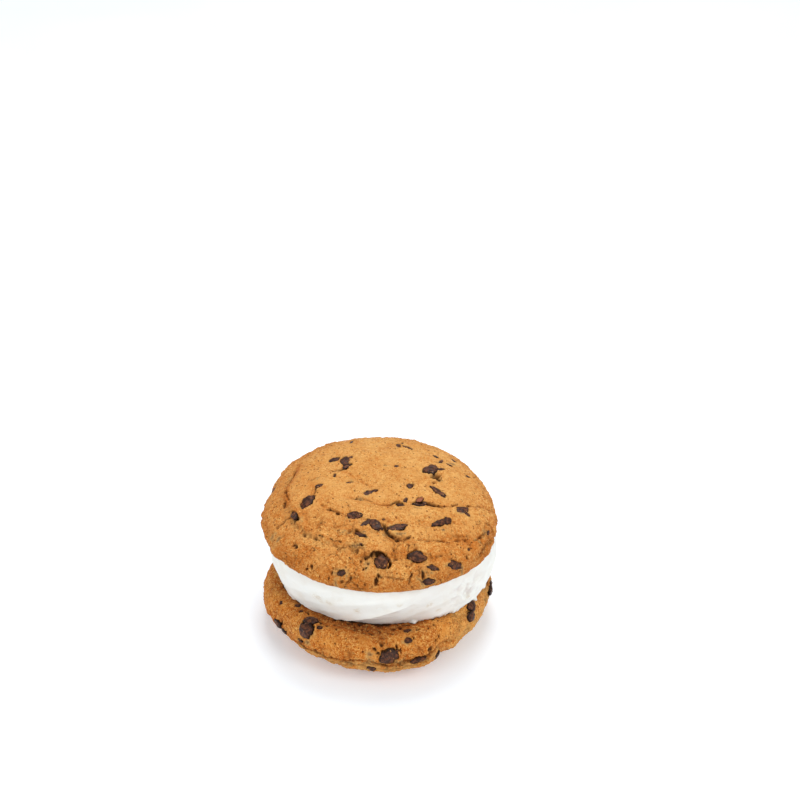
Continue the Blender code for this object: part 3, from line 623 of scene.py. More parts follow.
def step_shape(points):
    """Distance of the upper cookie's step from the middle at each point, and its strength there."""
    turn = (direction_of(points[:, 0], points[:, 1]) + 180.0) % 360.0 - 180.0
    first, last = STEP_EDGE[0][0], STEP_EDGE[-1][0]
    inside = (turn > first) & (turn < last)
    strength = ramp(turn, first, first + STEP_FADES[0]) * ramp(-turn, -last, -last + STEP_FADES[1])
    edge = along_table(turn, STEP_EDGE) + 0.4 * rough(points * (1, 1, 0), 3.2, 3, 71)
    return edge, strength * inside


def crown_relief(points):
    """Broad height of the folded crown, as the solid has it, the mask of its valleys, which gets painted
    shade, and their bottoms.
    """
    flat = points * (1, 1, 0)
    radius = np.hypot(points[:, 0], points[:, 1])
    height = LUMP_HEIGHT * broad_noise(points, TOP_LUMP_LAYER, LUMP_LENGTH)
    edge, strength = step_shape(points)
    height -= strength * STEP_HEIGHT * ramp(radius, edge - STEP_SOFTNESS, edge + STEP_SOFTNESS)
    x = points[:, 0] + 0.8 * rough(flat, 6.0, 2, 72)
    y = points[:, 1] + 0.8 * rough(flat, 6.0, 2, 74)
    valley_shade = np.zeros(len(points))
    bottom = np.zeros(len(points))
    for depth, half_width, path in TOP_FOLDS:
        distance = path_distance(x, y, path)
        line = np.exp(-distance / half_width)
        height -= depth * line
        valley_shade = np.maximum(valley_shade, line)
        bottom = np.maximum(bottom, bell(distance, FOLD_BOTTOM))
    return height, valley_shade, bottom


def dome_relief(points):
    """Broad height of the lower cookie's domed underside."""
    height = LUMP_HEIGHT * broad_noise(points, LOW_LUMP_LAYER, LUMP_LENGTH)
    wavy = np.hypot(points[:, 0], points[:, 1]) + 0.8 * broad_noise(points, RING_LAYER, 8.0)
    for depth, place, half_width in DOME_RINGS:
        height -= depth * bell(wavy - place, half_width)
    return height


class Chip:
    """One chocolate chip: its frame on the dough, its size and the angular outline that shows."""

    def __init__(self, place, normal, heading, length, width, proud, seed):
        along = Vector((math.cos(math.radians(heading)), math.sin(math.radians(heading)), 0.0))
        side = normal.cross(along).normalized()
        self.axes = np.array([side.cross(normal).normalized(), side, normal])
        self.place = np.array(place)
        self.length = length
        self.width = width
        self.proud = proud
        self.seed = seed
        self.reddish = 0.0
        draw = random.Random(seed)
        self.ball_like = width > 0.9 * length and length > 3.0
        count = 9 if self.ball_like else draw.choice((4, 5, 5, 6, 7)) + 2 * (width > 4.5)
        inner, outer = (0.95, 1.06) if self.ball_like else (0.80, 1.06)
        phase = draw.uniform(0.0, 2.0 * math.pi)
        self.sides = [(phase + 2.0 * math.pi * (index + draw.uniform(-0.28, 0.28)) / count,
                       draw.uniform(inner, outer)) for index in range(count)]
        self.waves = [(turns, draw.uniform(0.3, 1.0) * 0.05, draw.uniform(0.0, 2.0 * math.pi))
                      for turns in (3, 5, 7, 9)]
        self.lean = (draw.uniform(-0.07, 0.07), draw.uniform(-0.08, 0.08))
        gap = np.array((draw.uniform(-0.12, 0.12), draw.uniform(-0.05, 0.20), 0.0))
        self.gap = self.axes @ gap

    def outline(self, angle):
        """Reach of the outline in a direction, as a share of the half length or half width."""
        total = 0.0
        for facing, distance in self.sides:
            total = total + np.maximum(np.cos(angle - facing) / distance, 0.0) ** 7
        reach = np.minimum(total ** (-1.0 / 7.0), 1.18)
        for turns, size, phase in self.waves:
            reach = reach + size * np.sin(turns * angle + phase)
        return reach

    def local(self, points):
        return (points - self.place) @ self.axes.T

    def share(self, local):
        """Distance from the middle as a share of the ragged outline in that direction."""
        u = local[:, 0] / (0.5 * self.length)
        v = local[:, 1] / (0.5 * self.width)
        return np.hypot(u, v) / self.outline(np.arctan2(v, u))


def surface_tree(points, triangles):
    return BVHTree.FromPolygons(points.tolist(), triangles.tolist())


def placed_chip(tree, origin, aim, length, width, heading, proud, seed):
    """Chip where a ray meets the dough, or nothing where it misses."""
    place, normal = tree.ray_cast(origin, aim)[:2]
    return Chip(place, normal, heading, length, width, proud, seed) if place is not None else None


def hidden_chips(seed, count, span, places, lengths, prouds):
    """Chips spread by rule round the side that the photograph doesn't show."""
    draw = random.Random(seed)
    for index in range(count):
        share = (index + draw.uniform(0.1, 0.9)) / count
        direction = span[0] + (span[1] - span[0]) * share
        place = draw.uniform(*places)
        length = draw.uniform(*lengths)
        width = length * draw.uniform(0.4, 0.9)
        heading = draw.uniform(0, 180)
        yield direction, place, length, width, heading, draw.uniform(*prouds)


def top_chip_list(tree):
    down = Vector((0.0, 0.0, -1.0))
    chips = []
    for index, (x, y, *shape) in enumerate(TOP_CHIPS):
        chip = placed_chip(tree, Vector((x, y, AIM_START)), down, *shape, TOP_CHIP_SEEDS[0] + index)
        if chip and (x, y) in TOP_REDDISH:
            chip.reddish = 1.0
        chips.append(chip)
    draws = hidden_chips(5, TOP_HIDDEN_CHIPS, TOP_HIDDEN_SPAN, TOP_HIDDEN_LEVEL, TOP_HIDDEN_LENGTH,
                         TOP_HIDDEN_PROUD)
    for index, (direction, level, *shape) in enumerate(draws):
        outward = outward_at(direction)
        start = outward * AIM_START + Vector((0.0, 0.0, level))
        chips.append(placed_chip(tree, start, -outward, *shape, TOP_CHIP_SEEDS[1] + index))
    return [chip for chip in chips if chip]


def edge_length():
    """Length of the lower cookie's quarter-round edge, from the flat side to the widest place."""
    return 0.5 * math.pi * 0.5 * (LOW_RADIUS - LOW_FLAT_RADIUS + LOW_EDGE_DROP)


def along_surface(radius, level):
    """Way outward along the lower cookie's flat side and over its edge."""
    rise = level - (LOW_HEIGHT - LOW_EDGE_DROP)
    turn = np.arctan2(np.maximum(radius - LOW_FLAT_RADIUS, 0.0) * LOW_EDGE_DROP,
                      rise * (LOW_RADIUS - LOW_FLAT_RADIUS))
    return np.where(radius < LOW_FLAT_RADIUS, radius + 40.0 * (rise < 0.0),
                    LOW_FLAT_RADIUS + edge_length() * turn / (0.5 * math.pi))


def dome_level(radius):
    """Height of the lower cookie's smooth underside at a distance from its axis."""
    share = (radius - LOW_REST_RADIUS) / (LOW_RADIUS - LOW_REST_RADIUS)
    return (LOW_HEIGHT - LOW_EDGE_DROP) * (1.0 - math.sqrt(max(0.0, 1.0 - share ** LOW_FULLNESS)))


def low_aim(direction, reach):
    """Line onto the lower cookie's surface, reach outward from its middle along the surface."""
    edge = LOW_RADIUS - LOW_FLAT_RADIUS
    quarter = 0.5 * math.pi
    turn = max(0.0, (reach - LOW_FLAT_RADIUS) / edge_length() * quarter)
    if turn < quarter:
        radius = min(reach, LOW_FLAT_RADIUS) + edge * math.sin(turn)
        level = LOW_HEIGHT - LOW_EDGE_DROP * (1.0 - math.cos(turn))
        slope = math.atan2(math.sin(turn) * LOW_EDGE_DROP, math.cos(turn) * edge)
    else:
        radius = LOW_REST_RADIUS + (LOW_RADIUS - LOW_REST_RADIUS) * math.cos(turn - quarter)
        level = dome_level(radius)
        slope = turn
    swelling = swell(np.array([float(direction)]), LOW_RIM_SWELLS)[0]
    radius += float(swelling * ramp(radius, LOW_REST_RADIUS, LOW_RADIUS))
    outward = outward_at(direction)
    upward = Vector((0.0, 0.0, 1.0))
    away = outward * math.sin(slope) + upward * math.cos(slope)
    return outward * radius + upward * level + away * LOW_AIM_START, -away


def low_chip_list(tree):
    chips = []
    for index, (direction, reach, length, width, heading, proud) in enumerate(LOW_CHIPS):
        chips.append(placed_chip(tree, *low_aim(direction, reach), length, width, direction + heading, proud,
                                 LOW_CHIP_SEEDS[0] + index))
    draws = hidden_chips(11, LOW_HIDDEN_CHIPS, LOW_HIDDEN_SPAN, LOW_HIDDEN_REACH, LOW_HIDDEN_LENGTH,
                         LOW_HIDDEN_PROUD)
    for index, (direction, reach, *shape) in enumerate(draws):
        chips.append(placed_chip(tree, *low_aim(direction, LOW_FLAT_RADIUS + reach), *shape,
                                 LOW_CHIP_SEEDS[1] + index))
    return [chip for chip in chips if chip]


def press_chips(points, chips):
    """Relief of the dough round the chips, the painted shade in their sockets and in the gaps round them, and
    how smeared it is there.
    """
    relief = np.zeros(len(points))
    cavity_shade = np.zeros(len(points))
    smear = np.zeros(len(points))
    ragged = 0.20 * rough(points, 1.3, 3, 33)
    patch = clipped_noise(points, 0.45, 1.1, 3.0, 2, 34, high=1.3)
    crumble = clipped_noise(points, 0.3, 1.5, 1.9, 2, 36)
    for chip in chips:
        reach = 0.5 * chip.length + SOCKET_MARGIN
        near = np.nonzero(np.abs(points - chip.place).max(axis=1) < reach)[0]
        local = chip.local(points[near]) - chip.gap
        mean = 0.25 * (chip.length + chip.width)
        share = chip.share(local) + ragged[near] * min(1.0, 1.3 / mean)
        gap = (share - 0.98) * mean
        under = np.abs(local[:, 2]) < SOCKET_HEIGHT
        well = ramp(-gap, -0.06, 0.24) * under
        lip = bell(gap - 0.42, 0.40) * under
        relief[near] = relief[near] * (1.0 - well) - SOCKET_DEPTH * well
        relief[near] += (0.04 + 0.30 * patch[near]) * lip * (1.0 - well) * min(1.0, mean / 2.0)
        # Painted shade along the gap round the chip and in its socket
        edge = bell(np.maximum(gap, 0.0), 0.05 + 0.20 * crumble[near]) * under
        cavity_shade[near] = np.maximum(cavity_shade[near], np.maximum(edge * crumble[near], well))
        # The smear round a chip is stronger in front of it than behind it
        before = np.clip((chip.place[1] - points[near][:, 1]) / (0.5 * chip.width + 0.8), 0.0, 1.0)
        halo = np.exp(-np.maximum(gap, 0.0) / 1.1) * under * patch[near] * min(1.0, mean / 2.0)
        halo *= 0.35 + 0.75 * before
        smear[near] = np.maximum(smear[near], halo)
    return relief, cavity_shade, smear


def add_pits(points, size, chance, depth, spread, seed):
    """Small scattered holes: negative relief, and a mask of the holes that darkens them, as painted shade in
    most holes and as browned specks in the small dots.
    """
    warped = points + 0.25 * np.stack([rough(points, 0.9, 2, seed + axis) for axis in range(3)], axis=1)
    first, _, value = cells(warped, size, seed)
    wanted = value < chance * spread
    radius = size * (0.14 + 0.22 * (value / np.maximum(chance, 1e-6)))
    hole = ramp(-first, -radius, -0.35 * radius) * wanted
    return -depth * hole, hole


def crack_net(points, size, half_width, depth, spread, seed):
    """Fine net of broken lines that shows where the spread is high: grooves, and a mask that gives them
    painted shade.
    """
    warped = points + 0.9 * np.stack([rough(points, 2.6, 3, seed + 10 + axis) for axis in range(3)], axis=1)
    first, second, _ = cells(warped, size, seed)
    line = bell(second - first, half_width) * spread
    return -depth * line, line


def hollow(u, v, heading, length, width):
    """One in the middle of a small hole, nought outside it."""
    turn = math.radians(heading)
    along = (u * math.cos(turn) + v * math.sin(turn)) / (0.5 * length)
    across = (v * math.cos(turn) - u * math.sin(turn)) / (0.5 * width)
    return ramp(-np.hypot(along, across), -1.15, -0.55)


def cookie_crown(points, weight):
    """Fine relief of the crown: height, painted shade in its cracks, holes and seam, smears, and painted
    shade where it turns down to the step.
    """
    x, y = points[:, 0], points[:, 1]
    flat = points * (1, 1, 0)
    shift_x = CRACK_WANDER * rough(flat, 1.9, 3, 51)
    shift_y = CRACK_WANDER * rough(flat, 1.9, 3, 61)
    breaks = 0.70 + 0.9 * rough(flat, 2.2, 2, 55)
    widths = clipped_noise(flat, 1.0, 0.7, 1.8, 2, 57, 0.45, 1.8)
    height = np.zeros(len(points))
    dark = np.zeros(len(points))
    # Cracks and holes are dents, darkened with painted shade
    for depth, half_width, path in TOP_CRACKS:
        distance = path_distance(x + shift_x, y + shift_y, path)
        least = 0.7 if depth > DEEP_CRACK else 0.0
        line = bell(distance, half_width * widths) * np.clip(breaks, least, 1.15)
        lip = bell(distance - 2.2 * half_width, 1.2 * half_width)
        height += 0.10 * lip * widths - depth * line
        dark = np.maximum(dark, np.clip(1.3 * line * depth ** 0.5, 0.0, 1.0))
    for x_mid, y_mid, length, width, heading, depth in TOP_HOLES:
        hole = hollow(x + 1.3 * shift_x - x_mid, y + 1.3 * shift_y - y_mid, heading, length, width)
        height -= depth * hole
        dark = np.maximum(dark, hole)
    # The seam at the step is a groove darkened with painted shade, and the low places between its crumbs get
    # painted shade too
    edge, strength = step_shape(points)
    seam = np.hypot(x, y) - edge - 0.4
    patchy = clipped_noise(flat, -0.05, 1.6, 2.4, 2, 77) * strength
    line = bell(seam, 0.26 * widths) * patchy
    height -= 0.5 * line
    dark = np.maximum(dark, line)
    crumbly = bell(seam - 0.3, 1.5) * strength
    crumbs = granules(points * (1, 1, 1.5), 0.85, 79)
    height += 0.24 * crumbs * crumbly
    dark = np.maximum(dark, 0.35 * crumbly * ramp(-crumbs, 0.28, 0.46))
    # Painted shade on the crown's edge where it turns down to the step
    step_shade = bell(seam + 0.9, 0.9) * strength
    smear = 0.4 * crumbly * clipped_noise(flat, 0.3, 1.4, 5.0, 2, 78)
    ragged_x = x + 0.9 * rough(flat, 3.0, 3, 85)
    ragged_y = y + 0.7 * rough(flat, 3.0, 3, 87)
    thin = clipped_noise(flat, 0.75, 0.9, 1.6, 2, 89, low=0.2)
    for x_mid, y_mid, length, width in TOP_SMEARS:
        smear = np.maximum(smear, spot(ragged_x - x_mid, ragged_y - y_mid, length, width) * thin)
    return height * weight, dark * weight, smear, step_shade


def make_piece(name, points, triangles, fields, material):
    """Object from arrays in millimetres, with its fields for the material."""
    mesh = bpy.data.meshes.new(name)
    mesh.vertices.add(len(points))
    mesh.vertices.foreach_set("co", (points * MM).ravel())
    mesh.loops.add(3 * len(triangles))
    mesh.loops.foreach_set("vertex_index", triangles.astype(np.int32).ravel())
    mesh.polygons.add(len(triangles))
    mesh.polygons.foreach_set("loop_start", np.arange(0, 3 * len(triangles), 3, dtype=np.int32))
    mesh.update(calc_edges=True)
    for field, values in fields.items():
        store = mesh.attributes.new(field, "FLOAT", "POINT")
        store.data.foreach_set("value", np.clip(values, 0.0, 1.0).astype(np.float32))
    mesh.shade_smooth()
    mesh.materials.append(material)
    piece = bpy.data.objects.new(name, mesh)
    bpy.context.scene.collection.objects.link(piece)
    return piece


# Materials

class Graph:
    """Short way to add and join shader nodes."""

    def __init__(self, name):
        self.material = bpy.data.materials.new(name)
        self.material.use_nodes = True
        self.nodes = self.material.node_tree.nodes
        self.links = self.material.node_tree.links
        self.shader = self.nodes["Principled BSDF"]
        self.coords = self.add("ShaderNodeTexCoord").outputs["Object"]

    def add(self, kind, **settings):
        node = self.nodes.new(kind)
        for key, value in settings.items():
            setattr(node, key, value)
        return node

    def plug(self, value, socket):
        if isinstance(value, bpy.types.NodeSocket):
            self.links.new(value, socket)
        else:
            socket.default_value = value

    def field(self, name):
        return self.add("ShaderNodeAttribute", attribute_name=name).outputs["Fac"]

    def texture(self, kind, length):
        node = self.add(kind)
        self.links.new(self.coords, node.inputs["Vector"])
        node.inputs["Scale"].default_value = 1.0 / (length * MM)
        return node

    def noise(self, length, detail=3.0, roughness=0.5):
        node = self.texture("ShaderNodeTexNoise", length)
        node.inputs["Detail"].default_value = detail
        node.inputs["Roughness"].default_value = roughness
        return node.outputs["Fac"]

    def grains(self, length):
        return self.texture("ShaderNodeTexVoronoi", length).outputs["Distance"]

    def dots(self, length, radius, share):
        """One in small round spots, each in its own cell, that only the given share of the cells has."""
        node = self.texture("ShaderNodeTexVoronoi", length)
        parts = self.add("ShaderNodeSeparateColor")
        self.links.new(node.outputs["Color"], parts.inputs["Color"])
        wanted = self.math("LESS_THAN", parts.outputs["Red"], share)
        size = self.spread(parts.outputs["Green"], 0.0, 1.0, 0.55 * radius, 1.3 * radius)
        inside = self.math("SUBTRACT", size, node.outputs["Distance"])
        return self.times(wanted, self.spread(inside, -0.03, 0.06))

    def math(self, operation, first, second):
        node = self.add("ShaderNodeMath", operation=operation)
        self.plug(first, node.inputs[0])
        self.plug(second, node.inputs[1])
        return node.outputs[0]

    def times(self, first, second):
        return self.math("MULTIPLY", first, second)

    def spread(self, value, low, high, out_low=0.0, out_high=1.0):
        node = self.add("ShaderNodeMapRange", interpolation_type="SMOOTHSTEP")
        self.plug(value, node.inputs["Value"])
        limits = {"From Min": low, "From Max": high, "To Min": out_low, "To Max": out_high}
        for socket, number in limits.items():
            node.inputs[socket].default_value = number
        return node.outputs[0]

    def mix(self, share, first, second):
        node = self.add("ShaderNodeMix", data_type="RGBA")
        self.plug(share, node.inputs["Factor"])
        self.plug(first, node.inputs["A"])
        self.plug(second, node.inputs["B"])
        return node.outputs["Result"]

    def layer(self, colour, share, weight, tint):
        """The colour with a weighted share of a tint laid over it."""
        return self.mix(self.times(share, weight), colour, tint)

    def bump(self, height, distance, strength, under=None):
        node = self.add("ShaderNodeBump")
        self.plug(height, node.inputs["Height"])
        node.inputs["Distance"].default_value = distance * MM
        node.inputs["Strength"].default_value = strength
        if under is not None:
            self.links.new(under, node.inputs["Normal"])
        return node.outputs["Normal"]

    def finish(self, colour, roughness, normal, **constants):
        self.plug(colour, self.shader.inputs["Base Color"])
        self.plug(roughness, self.shader.inputs["Roughness"])
        self.plug(normal, self.shader.inputs["Normal"])
        for name, value in constants.items():
            self.shader.inputs[name.replace("_", " ")].default_value = value
        return self.material


def dough_material(name, light, middle, brown, contrast):
    """Baked dough: sandy golden brown, browner where the fields say so, with painted shade in its cracks,
    pores, grain gaps and hollows, and painted light where the fields make it paler.
    """
    graph = Graph(name)
    broad = graph.noise(9.0, 3.0)
    mottle = graph.noise(2.2, 5.0, 0.62)
    crumb = graph.noise(1.25, 4.0, 0.62)
    fine = graph.noise(0.50, 4.0, 0.66)
    grain = graph.grains(0.80)
    tone = graph.math("ADD", graph.times(broad, 0.40), graph.times(mottle, 0.60))
    colour = graph.mix(graph.spread(tone, 0.40, 0.60), middle, light)
    # This field carries browning and the painted shade of valleys, steps and the band beside the cream
    browning_and_shade = graph.math("ADD", graph.times(graph.field("brown"), 1.15),
                          graph.times(graph.math("SUBTRACT", mottle, 0.5), 1.4))
    colour = graph.mix(graph.spread(browning_and_shade, 0.0, 1.1), colour, brown)
    # Painted light: paler where this field says so
    colour = graph.layer(colour, graph.field("pale"), 0.9, light)
    # This field carries browned specks and the painted shade of the band and the contact line beside the
    # cream
    toast_and_shade_share = graph.times(graph.field("toast_and_shade"), graph.spread(mottle, 0.30, 0.62, 0.60, 1.0))
    colour = graph.mix(toast_and_shade_share, colour, DOUGH_TOAST_AND_SHADE)
    patch = graph.spread(graph.noise(5.0, 2.0), 0.38, 0.60, 0.55, 1.15)
    coarse = graph.spread(graph.field("coarse"), 0.0, 1.0, 0.55, 1.0)
    amount = graph.times(graph.times(coarse, patch), contrast)
    # Browner between the grains: painted shade in the gaps between them
    grainy = graph.times(graph.spread(grain, 0.34, 0.66), graph.spread(mottle, 0.30, 0.62, 0.15, 1.0))
    layers = (
        (grainy, 0.55, brown),
        (graph.spread(crumb, 0.50, 0.66), 0.62, brown),
        (graph.spread(crumb, 0.49, 0.36), 0.32, DOUGH_PALE),
        (graph.spread(fine, 0.52, 0.62), 0.66, brown),
        (graph.spread(fine, 0.47, 0.38), 0.36, DOUGH_PALE),
        (graph.dots(1.9, 0.14, 0.25), 0.50, DOUGH_PALE),
    )
    for share, weight, tint in layers:
        colour = graph.layer(colour, graph.times(share, weight), amount, tint)
    speck = graph.dots(0.80, 0.26, 0.36)
    colour = graph.layer(colour, graph.times(speck, 0.85), coarse, DOUGH_SPECK)
    colour = graph.layer(colour, toast_and_shade_share, 0.42, DOUGH_TOAST_AND_SHADE)
    fleck = graph.spread(graph.noise(1.1, 3.0, 0.6), 0.63, 0.69)
    colour = graph.layer(colour, fleck, 0.80, DOUGH_TOAST_AND_SHADE)
    # Small dark pores: dents with painted shade in them
    dot = graph.dots(1.5, 0.17, 0.42)
    colour = graph.layer(colour, dot, 0.80, DOUGH_TOAST_AND_SHADE)
    smear = graph.times(graph.field("smear"), graph.spread(mottle, 0.32, 0.56))
    smeared = graph.mix(graph.spread(smear, 0.35, 0.85), DOUGH_SMEAR, DOUGH_SMEAR_DARK)
    colour = graph.mix(graph.spread(smear, 0.0, 0.60, 0.0, 0.76), colour, smeared)
    # Painted shade in cracks, holes, pores, grooves and chip sockets
    colour = graph.layer(colour, graph.field("cavity_shade"), 0.88, DOUGH_CAVITY_SHADE)
    normal = graph.bump(graph.noise(3.4, 3.0), 1.3, 0.55)
    normal = graph.bump(graph.math("SUBTRACT", 1.0, grain), 0.30, 0.60, normal)
    normal = graph.bump(graph.math("SUBTRACT", 1.0, dot), 0.26, 0.80, normal)
    normal = graph.bump(graph.math("SUBTRACT", 1.0, speck), 0.12, 0.60, normal)
    normal = graph.bump(crumb, 0.70, 0.60, normal)
    normal = graph.bump(fine, 0.30, 0.75, normal)
    roughness = graph.spread(fine, 0.3, 0.7, 0.66, 0.86)
    return graph.finish(colour, roughness, normal, Specular_IOR_Level=0.16)


def chocolate_material():
    """Chocolate chips: dark brown with a dull bloom and faint highlights."""
    graph = Graph("chip_chocolate")
    mottle = graph.noise(1.3, 4.0, 0.6)
    fine = graph.noise(0.35, 3.0)
    colour = graph.mix(graph.spread(mottle, 0.44, 0.66), CHOCOLATE, CHOCOLATE_LIGHT)
    colour = graph.layer(colour, graph.field("reddish"), 0.85, CHOCOLATE_REDDISH)
    # Darker towards the chip's edge: painted shade, with darker patches from the mottle
    inner = graph.math("ADD", graph.field("crest"), graph.math("SUBTRACT", mottle, 0.5))
    colour = graph.mix(graph.spread(inner, -0.05, 0.70), CHOCOLATE_DEEP_AND_SHADE, colour)
    dust = graph.spread(graph.noise(0.9, 4.0, 0.7), 0.63, 0.69)
    colour = graph.layer(colour, dust, 0.70, TOP_MIDDLE)
    normal = graph.bump(fine, 0.14, 0.7)
    roughness = graph.spread(mottle, 0.3, 0.7, 0.34, 0.56)
    return graph.finish(colour, roughness, normal, Specular_IOR_Level=0.24)


def cream_material():
    """Whipped cream: white with a soft sheen and a few faint stains."""
    graph = Graph("whipped_cream")
    mottle = graph.noise(7.0, 3.0, 0.5)
    fine = graph.noise(1.1, 3.0, 0.55)
    stain = graph.noise(2.6, 2.0)
    colour = graph.mix(graph.spread(mottle, 0.46, 0.72), CREAM_WHITE, CREAM_WARM)
    stained = graph.math("MAXIMUM", graph.times(graph.spread(stain, 0.70, 0.82), 0.35),
                         graph.times(graph.field("stain"), graph.spread(fine, 0.30, 0.65)))
    colour = graph.layer(colour, stained, 0.8, CREAM_STAIN)
    # Painted shade below the crease, low at the front, on the right and in the torn hollows
    colour = graph.layer(colour, graph.field("painted_shade"), 0.85, CREAM_SHADED)
    normal = graph.bump(fine, 0.10, 0.30)
    roughness = graph.spread(fine, 0.3, 0.7, 0.42, 0.58)
    return graph.finish(colour, roughness, normal, Specular_IOR_Level=0.4, Subsurface_Weight=0.3,
                        Subsurface_Radius=(1.0, 0.9, 0.8), Subsurface_Scale=0.002)


# Pieces

def top_place():
    """How the upper cookie is turned, and where its flat side's middle lies."""
    tilt = Euler((math.radians(TOP_TILT[0]), math.radians(TOP_TILT[1]), 0.0)).to_matrix()
    seat = np.array((TOP_OFFSET[0], TOP_OFFSET[1], LOW_HEIGHT + CREAM_HEIGHT))
    return np.array(tilt), seat


def chip_surface(chips, seed):
    """Angular flattened lumps, one for each chip, joined into one surface, and their fields."""
    all_points = []
    all_triangles = []
    reddish = []
    crest = []
    first = 0
    for chip in chips:
        shape = bmesh.new()
        levels = 5 if chip.length > LONG_CHIP else 4 if chip.length > SHORT_CHIP else 3
        bmesh.ops.create_icosphere(shape, subdivisions=levels, radius=1.0)
        ball = np.array([vertex.co for vertex in shape.verts])
        triangles = np.array([[vertex.index for vertex in face.verts] for face in shape.faces])
        shape.free()
        across = np.hypot(ball[:, 0], ball[:, 1])
        stretch = 1.0 + (chip.outline(np.arctan2(ball[:, 1], ball[:, 0])) - 1.0) * across
        local = ball * np.stack([0.5 * chip.length * stretch, 0.5 * chip.width * stretch,
                                 np.ones(len(ball))], axis=1)
        above = (chip.proud + CHIP_SEAT) * np.maximum(ball[:, 2], 0.0) ** (0.85 if chip.ball_like else 0.65)
        below = max(1.0, 0.4 * chip.width) * np.minimum(ball[:, 2], 0.0)
        local[:, 2] = above + below - CHIP_SEAT
        local[:, 2] += chip.lean[0] * local[:, 0] + chip.lean[1] * local[:, 1]
        lumps = 0.34 * rough(local + chip.seed * 7.7, 2.4, 2, seed)
        lumps = lumps + 0.13 * rough(local + chip.seed, 0.8, 2, seed)
        local[:, 2] += lumps * np.clip(2.0 * ball[:, 2], 0.0, 1.0) * min(1.0, chip.width / 3.0)
        all_points.append(chip.place + local @ chip.axes)
        all_triangles.append(triangles + first)
        reddish.append(np.full(len(ball), chip.reddish))
        crest.append(1.0 - across ** 4)
        first += len(ball)
    fields = {"reddish": np.concatenate(reddish), "crest": np.concatenate(crest)}
    return np.concatenate(all_points), np.concatenate(all_triangles), fields


def top_cookie_pieces(dough, chocolate):
    """Upper cookie: crown with chips, cracks and pits, and a flat side that the cream meets."""
    def spacing(radius, height):
        return HIDDEN_SPACING if height < 0.01 and radius < TOP_FLAT_RADIUS - 3.0 else CROWN_SPACING

    points, triangles = turned(top_profile(), spacing, 1)
    radius = np.hypot(points[:, 0], points[:, 1])
    direction = direction_of(points[:, 0], points[:, 1])
    crown = ramp(points[:, 2], TOP_WAIST, TOP_WAIST + 3.0)
    out = swell(direction, TOP_RIM_SWELLS) * (radius / TOP_RADIUS) ** 3
    out += swell(direction, TOP_RIM_NOTCHES) * ramp(radius, 0.90 * TOP_RADIUS, TOP_RADIUS)
    out += 0.34 * rough(points, 5.5, 4, 15) * ramp(radius, 0.85 * TOP_RADIUS, TOP_RADIUS)
    up, valley_shade, bottom = crown_relief(points)
    points = widened(points, radius, out)
    points[:, 2] += up * crown
    chips = top_chip_list(surface_tree(points, triangles))
    normals = vertex_normals(points, triangles)
    outer = ramp(points[:, 2], 0.2, 1.4)
    front = ramp(-points[:, 1], 6.0, 32.0)
    rough_part = np.maximum(front, ramp(radius, 33.0, 40.0))
    relief, dark, marks, step_shade = cookie_crown(points, crown)
    socket, cavity_shade, smear = press_chips(points, chips)
    patches = clipped_noise(points, 0.5, 1.2, 9.0, 2, 81)
    pits, holes = add_pits(points, 2.1, 0.26, 0.6, (0.25 + 0.9 * rough_part) * (0.35 + patches), 91)
    dots, dot_dark = add_pits(points, 1.1, 0.12, 0.35, (0.3 + rough_part) * (0.4 + patches), 97)
    net, lines = crack_net(points, 5.2, 0.26, 0.5, np.clip(patches * 1.8 - 0.8, 0, 1) * rough_part, 95)
    grain = granules(points, 1.20, 21) * (0.14 + 0.17 * rough_part * (0.5 + patches))
    grain += 0.21 * rough(points, 3.0, 3, 25) * (0.5 + 0.8 * rough_part)
    folded = ramp(-points[:, 1], -6.0, 8.0) * (1.0 - 0.6 * ramp(-points[:, 1], 30.0, 38.0))
    grain += 0.42 * rough(points * (0.42, 1.0, 0.0), 4.4, 2, 29) * folded + 0.22 * rough(points, 5.5, 2, 27)
    stroke_spread = clipped_noise(points, -0.25, 1.7, 2.6, 2, 99) * (0.35 + 0.65 * rough_part)
    strokes, stroke_shade = crack_net(points, 2.3, 0.17, 0.25, stroke_spread, 98)
    # Crease bottoms are dents, darkened with painted shade
    creases = bottom * clipped_noise(points * (1, 1, 0), -0.10, 1.7, 1.8, 2, 59)
    dark = np.maximum(dark, 0.65 * creases * crown)
    relief += pits + dots + net + strokes + grain - 0.45 * creases
    away = 1.0 - np.clip(cavity_shade, 0.0, 1.0)
    points = points + normals * ((relief * away + socket) * outer)[:, None]
    rim = ramp(radius, 31.0, 43.0) * (0.40 + 0.60 * ramp(-points[:, 1], -10.0, 36.0))
    below = 1.0 - ramp(points[:, 2], TOP_WAIST, TOP_WAIST + 6.0)
    # The fields: browning at the rim, low on the rim and in patches, with painted shade in the fold valleys
    # and where the crown turns down to the step, and more brown towards the left and the front right; a
    # darker low band towards the front and browned specks in small dents; painted shade in chip sockets,
    # cracks, holes, crack nets and crease bottoms
    fields = {
        "brown": 0.06 + 0.44 * rim + 0.20 * below + 0.42 * valley_shade + 0.34 * rough_part * (patches - 0.4)
                 + 0.30 * step_shade + 0.22 * ramp(-points[:, 0], 6.0, 34.0)
                 + 0.12 * ramp(points[:, 0], 14.0, 32.0) * front,
        "toast_and_shade": np.maximum(0.10 * below * ramp(-points[:, 1], 0.0, 30.0), 0.75 * dot_dark),
        "cavity_shade": np.maximum.reduce([cavity_shade, dark, 0.75 * holes, 0.60 * lines, 0.50 * stroke_shade]),
        "smear": np.maximum(smear, marks),
        "coarse": 0.25 + 0.75 * rough_part,
    }
    turn, seat = top_place()
    points = points @ turn.T + seat
    chip_points, chip_triangles, chip_fields = chip_surface(chips, 41)
    chip_points = chip_points @ turn.T + seat
    return [
        make_piece("top_cookie_dough", points, triangles, fields, dough),
        make_piece("top_cookie_chips", chip_points, chip_triangles, chip_fields, chocolate),
    ]


